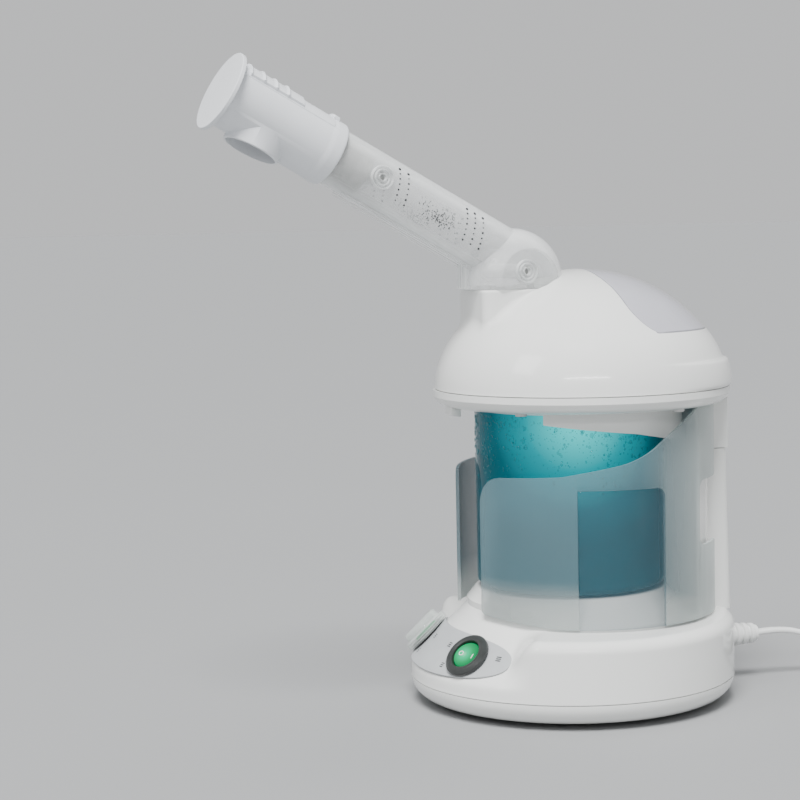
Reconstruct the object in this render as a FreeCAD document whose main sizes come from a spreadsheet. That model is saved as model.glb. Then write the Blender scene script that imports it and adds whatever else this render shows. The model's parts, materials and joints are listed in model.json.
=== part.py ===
import FreeCAD, Part
import math
import os
import Sketcher

# Tabletop facial steamer, millimetres.  +Z is up and -Y is the front, where the two switches are.
# The origin is on the floor, on the common axis of the round base and the water jar.
# The head, the guard and the rear column share an axis a few millimetres behind it.

SIZES = {
    # base
    "base_r": 86.0, "cover_low": 2.7, "cover_bend": 11.0, "cover_top": 13.7, "shell_gap": 0.2,
    "wall": 2.4, "rim_top": 45.0, "rim_bend": 5.0, "ledge_in_r": 62.0, "ledge_in_z": 46.5,
    "seat_r": 50.5, "seat_z": 60.6, "cone_sum": 107.4, "cone_half_deg": 50.0,
    "foot_in_r": 58.0, "foot_out_r": 66.0, "foot_height": 4.0,
    "cover_screw_r": 49.5, "cover_screw_hole_r": 1.9,
    # control panel and switches
    "panel_low_z": 23.4, "panel_high_z": 42.4, "panel_thick": 1.0, "panel_half_deg": 43.0,
    "switch_deg": 24.7, "switch_z": 31.7, "switch_hole_r": 10.15, "barrel_r": 10.0, "barrel_deep": 14.0,
    "bezel_r": 11.6, "bezel_high": 4.4, "bezel_bore_r": 8.1, "rocker_r": 7.9, "rocker_tilt": 8.0,
    "rocker_pin_r": 1.0, "rocker_pin_hole_r": 1.06, "cap_r": 10.6, "cap_flange_r": 12.7, "cap_high": 9.6,
    # column and guard
    "head_y": 7.0, "column_split": 131.0, "column_half": 21.0, "column_front": 64.0, "column_back": 84.0,
    "shield_in_r": 62.6, "shield_out_r": 65.0, "shield_half_deg": 46.0,
    "guard_y": 8.5, "guard_r": 68.5, "guard_thick": 1.7, "guard_low": 47.4, "guard_high": 156.7,
    "guard_front_top": 124.5,
    # head
    "head_r": 77.2, "rim_out_r": 78.4, "seam_z": 166.0, "head_plate_z": 157.0, "dome_low_r": 45.3,
    "dome_mid_r": 65.2, "dome_mid_z": 196.7, "dome_top_r": 84.0, "dome_top_z": 227.6,
    "crown_r": 4.0,
    "collar_in_r": 51.2, "collar_out_r": 53.6, "skirt_in_r": 55.0, "skirt_out_r": 57.0,
    # jar and boiler
    "jar_r": 49.6, "jar_wall": 2.4, "jar_low": 61.6, "jar_top": 162.4, "lug_r": 50.9,
    "duct_out_r": 10.8, "duct_in_r": 9.4, "duct_top": 213.0,
    # rear lid
    "lid_front_y": 12.0, "lid_low_z": 197.0, "lid_deep": 2.2, "lid_well": 13.0, "lid_gap": 0.5,
    "lid_nose_r": 7.3, "hinge_y": 15.0, "hinge_z": 221.0,
    # turret, swivel and arm
    "swivel_y": -31.0, "swivel_rest": 8.0, "turret_half": 21.5, "turret_front": 22.5, "turret_back": 21.5,
    "turret_top": 218.5, "turret_bend": 5.0, "recess_r": 27.0, "swivel_hole_r": 14.0, "spigot_r": 13.93,
    "spigot_bore_r": 11.6, "spigot_low": 209.0, "elbow_r": 26.4, "elbow_z": 223.4, "elbow_half": 20.8,
    "foot_gap": 0.3,
    "arm_tilt": 28.75, "arm_z": 232.75, "arm_r": 14.75, "arm_bore_r": 12.5, "arm_end": 128.0,
    "arm_wall": 2.3, "rail_half": 4.5, "rail_deep": 16.0, "foot_rail_front": 28.8, "boss_far": 91.0,
    "boss_near_y": -2.2, "boss_near_z": 227.7,
    "boss_r": 4.0, "boss_half_near": 21.4, "boss_half_far": 15.6,
    # nozzle
    "sleeve_r": 12.4, "sleeve_bore_r": 10.6, "sleeve_start": 97.0, "sleeve_end": 134.0,
    "collar_start": 112.5, "collar_long": 10.0, "nozzle_collar_r": 17.6, "nozzle_r": 16.5,
    "nozzle_bore_r": 15.0, "nozzle_end": 181.0, "disc_r": 20.8, "disc_thick": 2.4, "outlet_at": 154.0,
    "outlet_r": 14.5, "outlet_wall": 2.0, "outlet_reach": 19.5, "grip_half": 9.0,
    # cord
    "gland_z": 25.0, "relief_out_y": 109.0, "relief_r": 6.2, "relief_tip_r": 4.6, "cord_d": 5.4,
    "coil_x": -30.6, "coil_y": 200.0, "coil_in_r": 21.8, "coil_out_r": 38.6, "coil_high": 12.4,
    "plug_y": 233.0,
}

# The cord's route from the strain relief to the coil, chosen by hand.
CORD_ROUTE = [(0, 109, 25), (0, 125, 26.5), (2, 145, 20), (5, 172, 6), (5, 200, 2.8)]
PLUG_LEVEL = 8.0

doc = FreeCAD.newDocument("facial_steamer")
sheet = doc.addObject("Spreadsheet::Sheet", "sizes")
for row, (alias, amount) in enumerate(SIZES.items(), start=1):
    sheet.set(f"A{row}", alias.replace("_", " "))
    sheet.set(f"B{row}", str(amount))
    sheet.setAlias(f"B{row}", alias)
doc.recompute()

nodes = []
UP = FreeCAD.Vector(0, 0, 1)
ACROSS = FreeCAD.Vector(1, 0, 0)
COVER_SCREW_ANGLES = (45, 135, 225, 315)
HEAD_SCREW_SPOTS = ((-44, -43), (44, -43), (-60, 36), (60, 36))


class Size:
    """A length that carries its value and its spreadsheet formula together."""

    def __init__(self, value, formula):
        self.value = value
        self.formula = formula

    def join(self, other, sign, value):
        return Size(value, f"({self.formula} {sign} {formula(other)})")

    def __add__(self, other):
        return self.join(other, "+", self.value + number(other))

    def __sub__(self, other):
        return self.join(other, "-", self.value - number(other))

    def __rsub__(self, other):
        return Size(number(other) - self.value, f"({formula(other)} - {self.formula})")

    def __mul__(self, other):
        return self.join(other, "*", self.value * number(other))

    def __neg__(self):
        return Size(-self.value, f"(0 - {self.formula})")


def number(size):
    return size.value if isinstance(size, Size) else float(size)


def formula(size):
    return size.formula if isinstance(size, Size) else str(float(size))


def dim(alias):
    return Size(float(SIZES[alias]), f"sizes.{alias}")


def bind(thing, prop, size):
    """Set a property to a size, and keep it bound to the sheet."""
    if isinstance(size, Size):
        thing.setExpression(prop, size.formula)


def move(thing, spot, rotation=None):
    """Place a thing, binding each coordinate that is a size."""
    turn = rotation or FreeCAD.Rotation()
    thing.Placement = FreeCAD.Placement(FreeCAD.Vector(*[number(c) for c in spot]), turn)
    for letter, coordinate in zip("xyz", spot):
        bind(thing, f"Placement.Base.{letter}", coordinate)
    return thing


def keep(thing):
    nodes.append(thing)
    return thing


# ---------------------------------------------------------------- sketches and bodies

def arc_through(start, end, radius):
    """The short arc from start to end; a positive radius turns left, a negative one right."""
    size = abs(radius)
    middle = (start + end) * 0.5
    chord = end - start
    rise = math.sqrt(max(size * size - chord.Length ** 2 / 4, 0.0))
    left = FreeCAD.Vector(-chord.y, chord.x, 0).normalize()
    centre = middle + left * (rise if radius > 0 else -rise)
    first, last = (start, end) if radius > 0 else (end, start)
    angles = [math.atan2(p.y - centre.y, p.x - centre.x) for p in (first, last)]
    return Part.ArcOfCircle(Part.Circle(centre, UP, size), *angles)


def outline(body, role, points):
    """A closed sketch; a point's third number bends the side that leaves it to that radius."""
    sketch = body.newObject("Sketcher::SketchObject", body.Name + "_sketch")
    plane = [f for f in body.Origin.OriginFeatures if f.Role == role][0]
    sketch.AttachmentSupport = (plane, "")
    sketch.MapMode = "FlatFace"
    spots = [FreeCAD.Vector(number(p[0]), number(p[1]), 0) for p in points]
    ends = []
    for i, point in enumerate(points):
        following = spots[(i + 1) % len(spots)]
        bent = len(point) == 3
        if bent:
            sketch.addGeometry(arc_through(spots[i], following, number(point[2])))
        else:
            sketch.addGeometry(Part.LineSegment(spots[i], following))
        ends.append((2, 1) if bent and number(point[2]) < 0 else (1, 2))
    for i, (_, leave) in enumerate(ends):
        after = (i + 1) % len(ends)
        sketch.addConstraint(Sketcher.Constraint("Coincident", i, leave, after, ends[after][0]))
    for i, point in enumerate(points):
        for kind, axis, size in (("DistanceX", -2, point[0]), ("DistanceY", -1, point[1])):
            if number(size) == 0:
                sketch.addConstraint(Sketcher.Constraint("PointOnObject", i, ends[i][0], axis))
            else:
                index = sketch.addConstraint(Sketcher.Constraint(kind, -1, 1, i, ends[i][0], number(size)))
                bind(sketch, f"Constraints[{index}]", size)
        if len(point) == 3:
            sketch.addConstraint(Sketcher.Constraint("Radius", i, abs(number(point[2]))))
    return sketch


def turned(name, points, sector=None):
    """Revolve an outline of (radius, height) about +Z, or a sector of it centred on the front."""
    body = doc.addObject("PartDesign::Body", name)
    if sector is None:
        sketch = outline(body, "XZ_Plane", points)
    else:
        mirrored = [(-p[0], p[1]) + tuple(-bend for bend in p[2:]) for p in points]
        sketch = outline(body, "YZ_Plane", mirrored)
    feature = body.newObject("PartDesign::Revolution", name + "_turn")
    feature.Profile = sketch
    feature.ReferenceAxis = (sketch, ["V_Axis"])
    feature.Angle = 360.0 if sector is None else number(sector)
    feature.Midplane = sector is not None
    if sector is not None:
        bind(feature, "Angle", sector)
    return body


def padded(name, role, points, length, midplane=False):
    body = doc.addObject("PartDesign::Body", name)
    feature = body.newObject("PartDesign::Pad", name + "_pad")
    feature.Profile = outline(body, role, points)
    feature.Length = number(length)
    feature.Midplane = midplane
    bind(feature, "Length", length)
    return body


# ---------------------------------------------------------------- primitives and booleans

def cylinder(name, radius, length, spot=(0, 0, 0), axis=UP, angle=360.0):
    thing = doc.addObject("Part::Cylinder", name)
    thing.Radius = number(radius)
    thing.Height = number(length)
    thing.Angle = angle
    bind(thing, "Radius", radius)
    bind(thing, "Height", length)
    return move(thing, spot, FreeCAD.Rotation(UP, FreeCAD.Vector(axis)))


def ball(name, radius, spot):
    thing = doc.addObject("Part::Sphere", name)
    thing.Radius = number(radius)
    bind(thing, "Radius", radius)
    return move(thing, spot)


def box(name, low, high):
    thing = doc.addObject("Part::Box", name)
    for prop, near, far in zip(("Length", "Width", "Height"), low, high):
        extent = far - near
        setattr(thing, prop, number(extent))
        bind(thing, prop, extent)
    return move(thing, low)


def fuse(name, *parts):
    thing = doc.addObject("Part::MultiFuse", name)
    thing.Shapes = list(parts)
    return thing


def common(name, *parts):
    thing = doc.addObject("Part::MultiCommon", name)
    thing.Shapes = list(parts)
    return thing


def cut(name, base, *tools):
    thing = doc.addObject("Part::Cut", name)
    thing.Base = base
    thing.Tool = tools[0] if len(tools) == 1 else fuse(name + "_tools", *tools)
    return thing


def group(name, parts):
    thing = doc.addObject("Part::Compound", name)
    thing.Links = list(parts)
    return thing


def tube(name, outer, inner, length, spot=(0, 0, 0), axis=UP):
    outside = cylinder(name + "_outside", outer, length, spot, axis)
    inside = cylinder(name + "_inside", inner, length, spot, axis)
    return cut(name, outside, inside)


def screws(name, spots, axis, head_r, head_high, shank_r, shank_long):
    """A set of equal screws whose heads point along axis, one solid each."""
    made = []
    way = FreeCAD.Vector(*axis)
    for i, spot in enumerate(spots):
        foot = tuple(c - w * shank_long for c, w in zip(spot, way))
        head = cylinder(f"{name}_head{i}", head_r, head_high, spot, way)
        shank = cylinder(f"{name}_shank{i}", shank_r, shank_long, foot, way)
        made.append(fuse(f"{name}_{i}", head, shank))
    return keep(group(name, made))


# ---------------------------------------------------------------- base

wall = dim("wall")
base_r = dim("base_r")


def on_circle(radius, degrees):
    """A point at an angle from the front, positive towards +X."""
    turn = math.radians(degrees)
    return number(radius) * math.sin(turn), -number(radius) * math.cos(turn)


def foot_ring():
    low_r, high_r = dim("foot_in_r"), dim("foot_out_r")
    high = dim("foot_height")
    keep(turned("foot_ring", [(low_r, 0), (high_r, 0), (high_r, high), (low_r, high)]))


def base_cover():
    """The bottom dish with a groove for the foot ring and four screw holes."""
    low, top, bend = dim("cover_low"), dim("cover_top"), dim("cover_bend")
    groove_in, groove_out, groove_z = dim("foot_in_r") - 0.1, dim("foot_out_r") + 0.1, dim("foot_height")
    floor_top = low + 2.6
    body = turned("base_cover_dish", [
        (0, low), (groove_in, low), (groove_in, groove_z), (groove_out, groove_z), (groove_out, low),
        (base_r - bend, low, bend), (base_r, top), (base_r - wall, top, -bend + 2.6),
        (base_r - bend, floor_top), (0, floor_top)])
    holes = []
    for i, degrees in enumerate(COVER_SCREW_ANGLES):
        x, y = on_circle(dim("cover_screw_r"), degrees)
        holes.append(cylinder(f"cover_hole{i}", dim("cover_screw_hole_r"), 8, (x, y, 0)))
    keep(cut("base_cover", body, *holes))
    spots = [on_circle(dim("cover_screw_r"), degrees) + (number(low),) for degrees in COVER_SCREW_ANGLES]
    screws("base_screws", spots, (0, 0, -1), 3.2, 1.6, 1.35, 11.0)


def switch_frame(side):
    """The seat of a switch on the sloping front: local +Z points out of the cone."""
    radius = number(dim("cone_sum")) - number(dim("switch_z"))
    x, y = on_circle(radius, side * SIZES["switch_deg"])
    face = FreeCAD.Rotation(UP, side * SIZES["switch_deg"])
    tilt = FreeCAD.Rotation(FreeCAD.Vector(1, 0, 0), 45.0)
    return FreeCAD.Placement(FreeCAD.Vector(x, y, SIZES["switch_z"]), face * tilt)


def switch_hole(name, side):
    """A drill square to the sloping front, through both its panel and its wall."""
    hole = cylinder(name, dim("switch_hole_r"), 40)
    sunk = FreeCAD.Placement(FreeCAD.Vector(0, 0, -20), FreeCAD.Rotation())
    hole.Placement = switch_frame(side).multiply(sunk)
    return hole


def column_walls(name, low, high, lean):
    """A stretch of the rear column: a curved inner shield and a box duct behind it."""
    inner, outer, half = dim("shield_in_r"), dim("shield_out_r"), SIZES["shield_half_deg"]
    sector = cylinder(name + "_sector", outer, high - low, (0, dim("guard_y"), low), UP, 2 * half)
    sector.Placement = FreeCAD.Placement(sector.Placement.Base, FreeCAD.Rotation(UP, 90 - half))
    hollow = cylinder(name + "_hollow", inner, high - low, (0, dim("guard_y"), low))
    shield = cut(name + "_shield", sector, hollow)
    half_width, front, back = dim("column_half"), dim("column_front"), dim("column_back") - lean
    duct = box(name + "_duct", (-half_width, front, low), (half_width, back, high))
    bore = box(name + "_bore", (-half_width + wall, front + wall, low - 6),
               (half_width - wall, back - wall, high + 6))
    return [shield, duct], bore


def base_housing():
    """The upper base shell with the jar's pedestal, the switch slope and the lower column."""
    foot = dim("cover_top") + dim("shell_gap")
    rim, bend = dim("rim_top"), dim("rim_bend")
    seat_r, seat_z, ledge_r, ledge_z = dim("seat_r"), dim("seat_z"), dim("ledge_in_r"), dim("ledge_in_z")
    outside = turned("housing_outside", [
        (0, foot), (base_r, foot), (base_r, rim - bend, bend), (base_r - bend, rim), (ledge_r, ledge_z),
        (seat_r, seat_z), (0, seat_z)])
    inside = turned("housing_inside", [
        (0, foot - 1), (base_r - wall, foot - 1), (base_r - wall, rim - bend, bend - wall),
        (base_r - bend, rim - wall), (ledge_r - 1.2, ledge_z - wall), (seat_r - 1.1, seat_z - wall),
        (0, seat_z - wall)])
    total, half = dim("cone_sum"), dim("cone_half_deg")
    top = ledge_z + 2
    slope = turned("housing_slope", [(total - top, top), (total - top + 30, top), (total - top + 30, top - 30)],
                   half * 2)
    inner_total = total - wall * 1.414
    step = top + 4
    slope_inside = turned("housing_slope_inside", [
        (inner_total - step, step), (inner_total - step + 44, step), (inner_total - step + 44, step - 44)],
        half * 2 + 3.4)
    walls, bore = column_walls("lower_column", dim("ledge_in_z") - 4, dim("column_split") - 0.1, 0)
    solid = fuse("housing_solid", cut("housing_sloped", outside, slope), *walls)
    void = cut("housing_void", inside, slope_inside)
    pillars = []
    pilots = []
    for i, degrees in enumerate(COVER_SCREW_ANGLES):
        x, y = on_circle(dim("cover_screw_r"), degrees)
        pillars.append(cylinder(f"pillar{i}", 4.0, seat_z - 8.0, (x, y, 5.4)))
        pilots.append(cylinder(f"pilot{i}", 1.35, 10, (x, y, 5.4)))
    holes = []
    for side in (-1, 1):
        holes.append(switch_hole(f"switch_hole{side + 1}", side))
    gland = cylinder("gland_hole", 4.6, 12, (0, base_r - 10, dim("gland_z")), FreeCAD.Vector(0, 1, 0))
    shell = cut("housing_shell", solid, void, bore, gland, *holes)
    keep(cut("base_housing", fuse("housing_with_pillars", shell, *pillars), *pilots))


def control_panel_plate():
    """A thin silver plate on the sloping cone, with both switch holes."""
    total, thick = dim("cone_sum") + 0.1, dim("panel_thick")
    low, high = dim("panel_low_z"), dim("panel_high_z")
    plate = turned("panel_blank", [
        (total - low, low), (total - low + thick, low + thick), (total - high + thick, high + thick),
        (total - high, high)], dim("panel_half_deg") * 2)
    holes = []
    for side in (-1, 1):
        holes.append(switch_hole(f"panel_hole{side + 1}", side))
    keep(cut("control_panel_plate", plate, *holes))


def round_switch(name, side):
    """A round rocker switch: a barrel with a thick bezel, and a rocker on two small pins."""
    bore, barrel, deep = dim("bezel_bore_r"), dim("barrel_r"), dim("barrel_deep")
    seat, flange, high = dim("panel_thick") + 0.5, dim("bezel_r"), dim("bezel_high")
    shell = turned(name + "_barrel", [
        (0, -deep), (barrel, -deep), (barrel, seat), (flange, seat), (flange, seat + 0.9, 2.6),
        (bore + 1.0, high), (bore, high - 0.6), (bore, -deep + 2.5), (0, -deep + 2.5)])
    pivot = FreeCAD.Vector(0, 1, 0)
    holes = cylinder(name + "_pin_holes", dim("rocker_pin_hole_r"), 19, (0, -9.5, 0), pivot)
    body = keep(cut(name + "_body", shell, holes))
    radius = dim("rocker_r")
    face_z, floor_z = 2.6, -4.6
    face_r = math.sqrt(number(radius) ** 2 - face_z ** 2)
    floor_r = math.sqrt(number(radius) ** 2 - floor_z ** 2)
    zone = turned(name + "_zone", [
        (0, floor_z), (floor_r, floor_z, radius), (face_r, face_z), (0, face_z)])
    pins = cylinder(name + "_pins", dim("rocker_pin_r"), 18.4, (0, -9.2, 0), pivot)
    rocker = keep(fuse(name + "_rocker", zone, pins))
    body.Placement = switch_frame(side)
    rock = FreeCAD.Placement(FreeCAD.Vector(), FreeCAD.Rotation(pivot, side * SIZES["rocker_tilt"]))
    rocker.Placement = switch_frame(side).multiply(rock)


def ozone_switch_cap():
    """The clear splash-proof cap over the ozone switch."""
    flange, radius, high, lift = dim("cap_flange_r"), dim("cap_r"), dim("cap_high"), dim("panel_thick") + 0.5
    step = dim("bezel_high") + 0.4
    cap = keep(turned("ozone_switch_cap", [
        (dim("bezel_r") + 0.1, lift), (flange, lift), (flange, step + 0.8), (radius, step + 0.8),
        (radius, high - 1.5, 1.5), (radius - 1.5, high), (0, high), (0, high - 1.0), (radius - 1.6, high - 1.0),
        (radius - 1.0, high - 1.6), (radius - 1.0, step), (dim("bezel_r") + 0.1, step)]))
    cap.Placement = switch_frame(-1)


def base_insides():
    """What the base holds: the control board, the mains terminal block and the wiring."""
    board = box("board_plate", (-30, -28, 9.0), (30, 18, 10.6))
    ballast = box("board_ballast", (-22, -20, 10.6), (2, 4, 28))
    fuse_holder = box("board_fuse", (12, -18, 10.6), (20, 6, 20))
    keep(fuse("control_board", board, ballast, fuse_holder))
    block = box("terminal_body", (-14, 52, 8), (14, 64, 20))
    slots = [box(f"terminal_slot{i}", (x - 2.5, 50, 14), (x + 2.5, 56, 22)) for i, x in enumerate((-8, 0, 8))]
    keep(cut("mains_terminal", block, *slots))
    wires = [cylinder(f"riser_wire{i}", 1.3, 128, (x, 75, 32)) for i, x in enumerate((-6, -2, 2, 6))]
    keep(group("riser_wires", wires))


def strain_relief():
    """The ribbed collar where the cord leaves the back of the base."""
    start = base_r - 6.0
    long = dim("relief_out_y") - start
    tip, big = dim("relief_tip_r"), dim("relief_r")
    ribs = []
    for at in (9.0, 13.6, 18.2, 22.8):
        edge = big - at * 0.035
        ribs += [(tip + 0.2, at), (edge, at + 0.5), (edge, at + 2.6), (tip + 0.2, at + 3.1)]
    points = [(0, 0), (big + 1.2, 0), (big + 1.2, 2.4), (4.5, 2.4), (4.5, 6.4), (tip + 0.2, 6.4)]
    relief = keep(turned("strain_relief", points + ribs + [(tip, long), (0, long)]))
    move(relief, (0, start, dim("gland_z")), FreeCAD.Rotation(UP, FreeCAD.Vector(0, 1, 0)))


# ---------------------------------------------------------------- guard

def splash_guard():
    """The frosted guard: a C-shaped shell with a high back, two windows and two notches."""
    outer, thick, low, high = dim("guard_r"), dim("guard_thick"), dim("guard_low"), dim("guard_high")
    shell = tube("guard_tube", outer, outer - thick, high - low, (0, 0, low))
    front_top = dim("guard_front_top")
    above = padded("guard_above", "YZ_Plane", [
        (-80, front_top - 0.5), (-32, front_top, 120), (-6, front_top + 3.0, 60), (22, front_top + 15, 30),
        (31, front_top + 31), (31, high + 5), (-80, high + 5)], 160, True)
    rear = padded("guard_rear", "XY_Plane", [
        (0, 0), (-outer * 0.62, outer * 1.2), (outer * 0.62, outer * 1.2)], 200)
    front = box("guard_slot", (-outer * 0.2756, -outer - 5, 40), (outer * 0.2756, 0, 170))
    notches = []
    for side in (-1, 1):
        notches.append(box(f"guard_notch{side + 1}", (42 * side - 13, 41, 84), (42 * side + 13, 60, 119)))
    ledge_r, ledge_z = dim("ledge_in_r") + 1.0, dim("ledge_in_z") + 0.4
    below = turned("guard_pedestal", [
        (0, 40), (ledge_r, 40), (ledge_r, ledge_z), (dim("seat_r") + 0.7, dim("seat_z") + 0.6),
        (0, dim("seat_z") + 0.6)])
    move(below, (0, -dim("guard_y"), 0))
    whole = cut("guard_panels", shell, above, rear, front, below, *notches)
    for name, left, right in (("guard_left_panel", -90, 0), ("guard_right_panel", 0, 90)):
        panel = keep(common(name, whole, box(name + "_side", (left, -90, 30), (right, 90, 170))))
        move(panel, (0, dim("guard_y"), 0))


# ---------------------------------------------------------------- head

def dome_outline(inset):
    """The dome's outline of two arcs, moved inwards by inset."""
    low_r = dim("dome_low_r") - inset
    top_r = dim("dome_top_r") - inset
    slope = math.asin(SIZES["dome_mid_r"] / SIZES["dome_top_r"])
    mid_r = dim("dome_mid_r") - inset * math.sin(slope)
    mid_z = dim("dome_mid_z") - inset * math.cos(slope)
    crown_z = dim("dome_top_z") - inset
    return [(0, dim("seam_z")), (dim("head_r") - inset, dim("seam_z"), low_r), (mid_r, mid_z, top_r),
            (dim("crown_r"), crown_z), (0, crown_z)]


def dome_body(name, inset):
    return move(turned(name, dome_outline(inset)), (0, dim("head_y"), 0))


def turret_body(name, inset):
    half, front, back, bend = dim("turret_half"), dim("turret_front"), dim("turret_back"), dim("turret_bend")
    block = padded(name, "XY_Plane", [
        (-half + inset, -front + bend, bend - inset), (-half + bend, -front + inset),
        (half - bend, -front + inset, bend - inset), (half - inset, -front + bend),
        (half - inset, back), (-half + inset, back)], dim("turret_top") - dim("seam_z") - 12 - inset)
    return move(block, (0, dim("swivel_y"), dim("seam_z") + 12))


def lid_zone(name, gap):
    """The rear top of the head, where the lid lies; its front edge is round about the hinge."""
    block = box(name + "_block", (-90, dim("lid_front_y") + gap, dim("lid_low_z") + gap), (90, 100, 240))
    nose = cylinder(name + "_nose", dim("lid_nose_r") - gap, 180, (-90, dim("hinge_y"), dim("hinge_z")), ACROSS)
    return fuse(name, block, nose)


def head_dome():
    """The head's upper shell with the turret and the well under the rear lid."""
    recess = cylinder("recess", dim("recess_r"), 30, (0, dim("swivel_y"), dim("turret_top")))
    outside = fuse("dome_outside", dome_body("dome_outer", 0), turret_body("turret_outer", 0))
    recess_inside = cylinder("recess_inside", dim("recess_r") + wall, 30,
                             (0, dim("swivel_y"), dim("turret_top") - wall))
    inside = fuse("dome_inside", dome_body("dome_inner", wall), turret_body("turret_inner", wall))
    well = cut("lid_space", lid_zone("lid_space_zone", 0), dome_body("well_floor", dim("lid_well")))
    well_inside = cut("lid_space_inside", lid_zone("lid_space_inner_zone", -wall),
                      dome_body("well_ceiling", dim("lid_well") + wall))
    hole = cylinder("swivel_hole", dim("swivel_hole_r"), 12, (0, dim("swivel_y"), dim("turret_top") - 6))
    solid = cut("dome_solid", outside, recess, well)
    void = cut("dome_void", inside, recess_inside, well_inside)
    lift = box("seam_trim", (-90, -90, dim("seam_z") - 5), (90, 100, dim("seam_z") + 0.1))
    shell = cut("dome_shell", solid, void, hole, lift)
    ears = lid_ears("dome_ear", 13.2, 3.2, dim("hinge_z") - 12)
    axle = cylinder("dome_axle_hole", 1.0, 34, (-17, dim("hinge_y"), dim("hinge_z")), ACROSS)
    posts = [cylinder(f"dome_post{i}", 4.0, 28, (x, y, 159.6)) for i, (x, y) in enumerate(HEAD_SCREW_SPOTS)]
    pilots = [cylinder(f"dome_pilot{i}", 1.3, 9, (x, y, 159)) for i, (x, y) in enumerate(HEAD_SCREW_SPOTS)]
    keep(cut("head_dome", fuse("dome_with_ears", shell, *ears, *posts), axle, *pilots))


def lid_ears(name, start, thick, low):
    """A pair of round ears about the lid's hinge axis, on webs that come up from low."""
    made = []
    for side in (-1, 1):
        near = start if side > 0 else -start - thick
        y, z = dim("hinge_y"), dim("hinge_z")
        made.append(cylinder(f"{name}_round{side + 1}", 2.2, thick, (near, y, z), ACROSS))
        made.append(box(f"{name}_web{side + 1}", (near, y - 2.2, low), (near + thick, y + 2.2, z)))
    return made


def rear_lid():
    """The translucent lid over the rear of the head, with its hinge knuckles and pin."""
    skin = cut("lid_skin", dome_body("lid_outer", 0), dome_body("lid_inner", dim("lid_deep")))
    zone = lid_zone("lid_cut_zone", dim("lid_gap"))
    y, z = dim("hinge_y"), dim("hinge_z")
    knuckles = []
    for side in (-1, 1):
        near = 8.0 if side > 0 else -12.7
        knuckles.append(cylinder(f"lid_knuckle{side + 1}", 2.2, 4.7, (near, y, z), ACROSS))
        knuckles.append(box(f"lid_web{side + 1}", (near, y - 1.5, z), (near + 4.7, y + 1.5, z + 4.2)))
    sound = fuse("lid_with_knuckles", common("lid_plate", skin, zone), *knuckles)
    bore = cylinder("lid_bore", 1.06, 40, (-20, y, z), ACROSS)
    slit = box("lid_slit", (-9, 60, 195), (9, 80, 199.4))
    keep(cut("rear_lid", sound, bore, slit))
    keep(cylinder("lid_hinge_pin", 1.0, 33.6, (-16.8, y, z), ACROSS))


def head_base():
    """The head's lower shell with the jar's collar and the upper column."""
    head_y, plate, seam = dim("head_y"), dim("head_plate_z"), dim("seam_z")
    rim = turned("head_rim", [
        (60, plate), (70, plate, 9.5), (dim("rim_out_r"), plate + 5.4), (dim("rim_out_r"), seam - 0.2),
        (dim("rim_out_r") - wall, seam - 0.2), (dim("rim_out_r") - wall, plate + 6.2, -7.1),
        (70, plate + wall), (60, plate + wall)])
    move(rim, (0, head_y, 0))
    disc = cylinder("head_disc", 66, wall, (0, head_y, plate))
    collar = cylinder("jar_collar", dim("collar_out_r"), seam - plate - 0.2, (0, 0, plate))
    walls, bore = column_walls("upper_column", dim("column_split") + 0.1, plate + 1, 1.4)
    hole = cylinder("collar_hole", dim("collar_in_r"), 30, (0, 0, plate - 12))
    ways = [cylinder(f"head_way{i}", 1.6, 8, (x, y, plate - 2)) for i, (x, y) in enumerate(HEAD_SCREW_SPOTS)]
    keep(cut("head_base", fuse("head_base_solid", rim, disc, collar, *walls), hole, bore, *ways))


def jar_skirt():
    """The white skirt under the head, open at the front, its edge falling to the rear."""
    inner, outer, plate = dim("skirt_in_r"), dim("skirt_out_r"), dim("head_plate_z")
    ring = tube("skirt_ring", 62.4, inner, 2.4, (0, 0, plate - 2.5))
    wall_ring = tube("skirt_wall", outer, inner, 30, (0, 0, plate - 30.1))
    below = padded("skirt_below", "YZ_Plane", [(-90, 159), (50, 138), (50, 100), (-90, 100)], 160, True)
    front = padded("skirt_front", "XY_Plane", [(0, 0), (-78, -64), (-78, -120), (78, -120), (78, -64)], 152.8)
    rear = box("skirt_rear", (-60, 46, 100), (60, 70, plate - 2.5))
    column = box("skirt_column", (-21.4, 57.6, 100), (21.4, 75, plate))
    offset = dim("head_y") - 1.0
    jar = cylinder("skirt_jar", dim("lug_r"), 30, (0, -offset, plate - 20))
    trimmed = cut("skirt_trimmed", wall_ring, below, front, rear)
    skirt = keep(cut("jar_skirt", fuse("skirt_whole", ring, trimmed), jar, column))
    move(skirt, (0, offset, 0))


def boiler_cap():
    """The gasket on the jar's rim and the plate over it, with three holes."""
    top, seam_top = dim("jar_top"), dim("seam_z") - 0.2
    keep(tube("jar_gasket", 50.6, 46.5, 2.3, (0, 0, top + 0.05)))
    under = top + 2.35
    blank = turned("boiler_cap_blank", [
        (0, under), (50.9, under), (50.9, seam_top), (56, seam_top), (56, seam_top + 2.2), (0, seam_top + 2.2)])
    duct_hole = cylinder("cap_duct_hole", dim("duct_in_r"), 12, (0, dim("swivel_y"), under - 4))
    heater_hole = cylinder("cap_heater_hole", 13, 12, (0, 8, under - 4))
    lamp_hole = cylinder("cap_lamp_hole", 5.1, 12, (26, -8, under - 4))
    keep(cut("boiler_cap", blank, duct_hole, heater_hole, lamp_hole))


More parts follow.
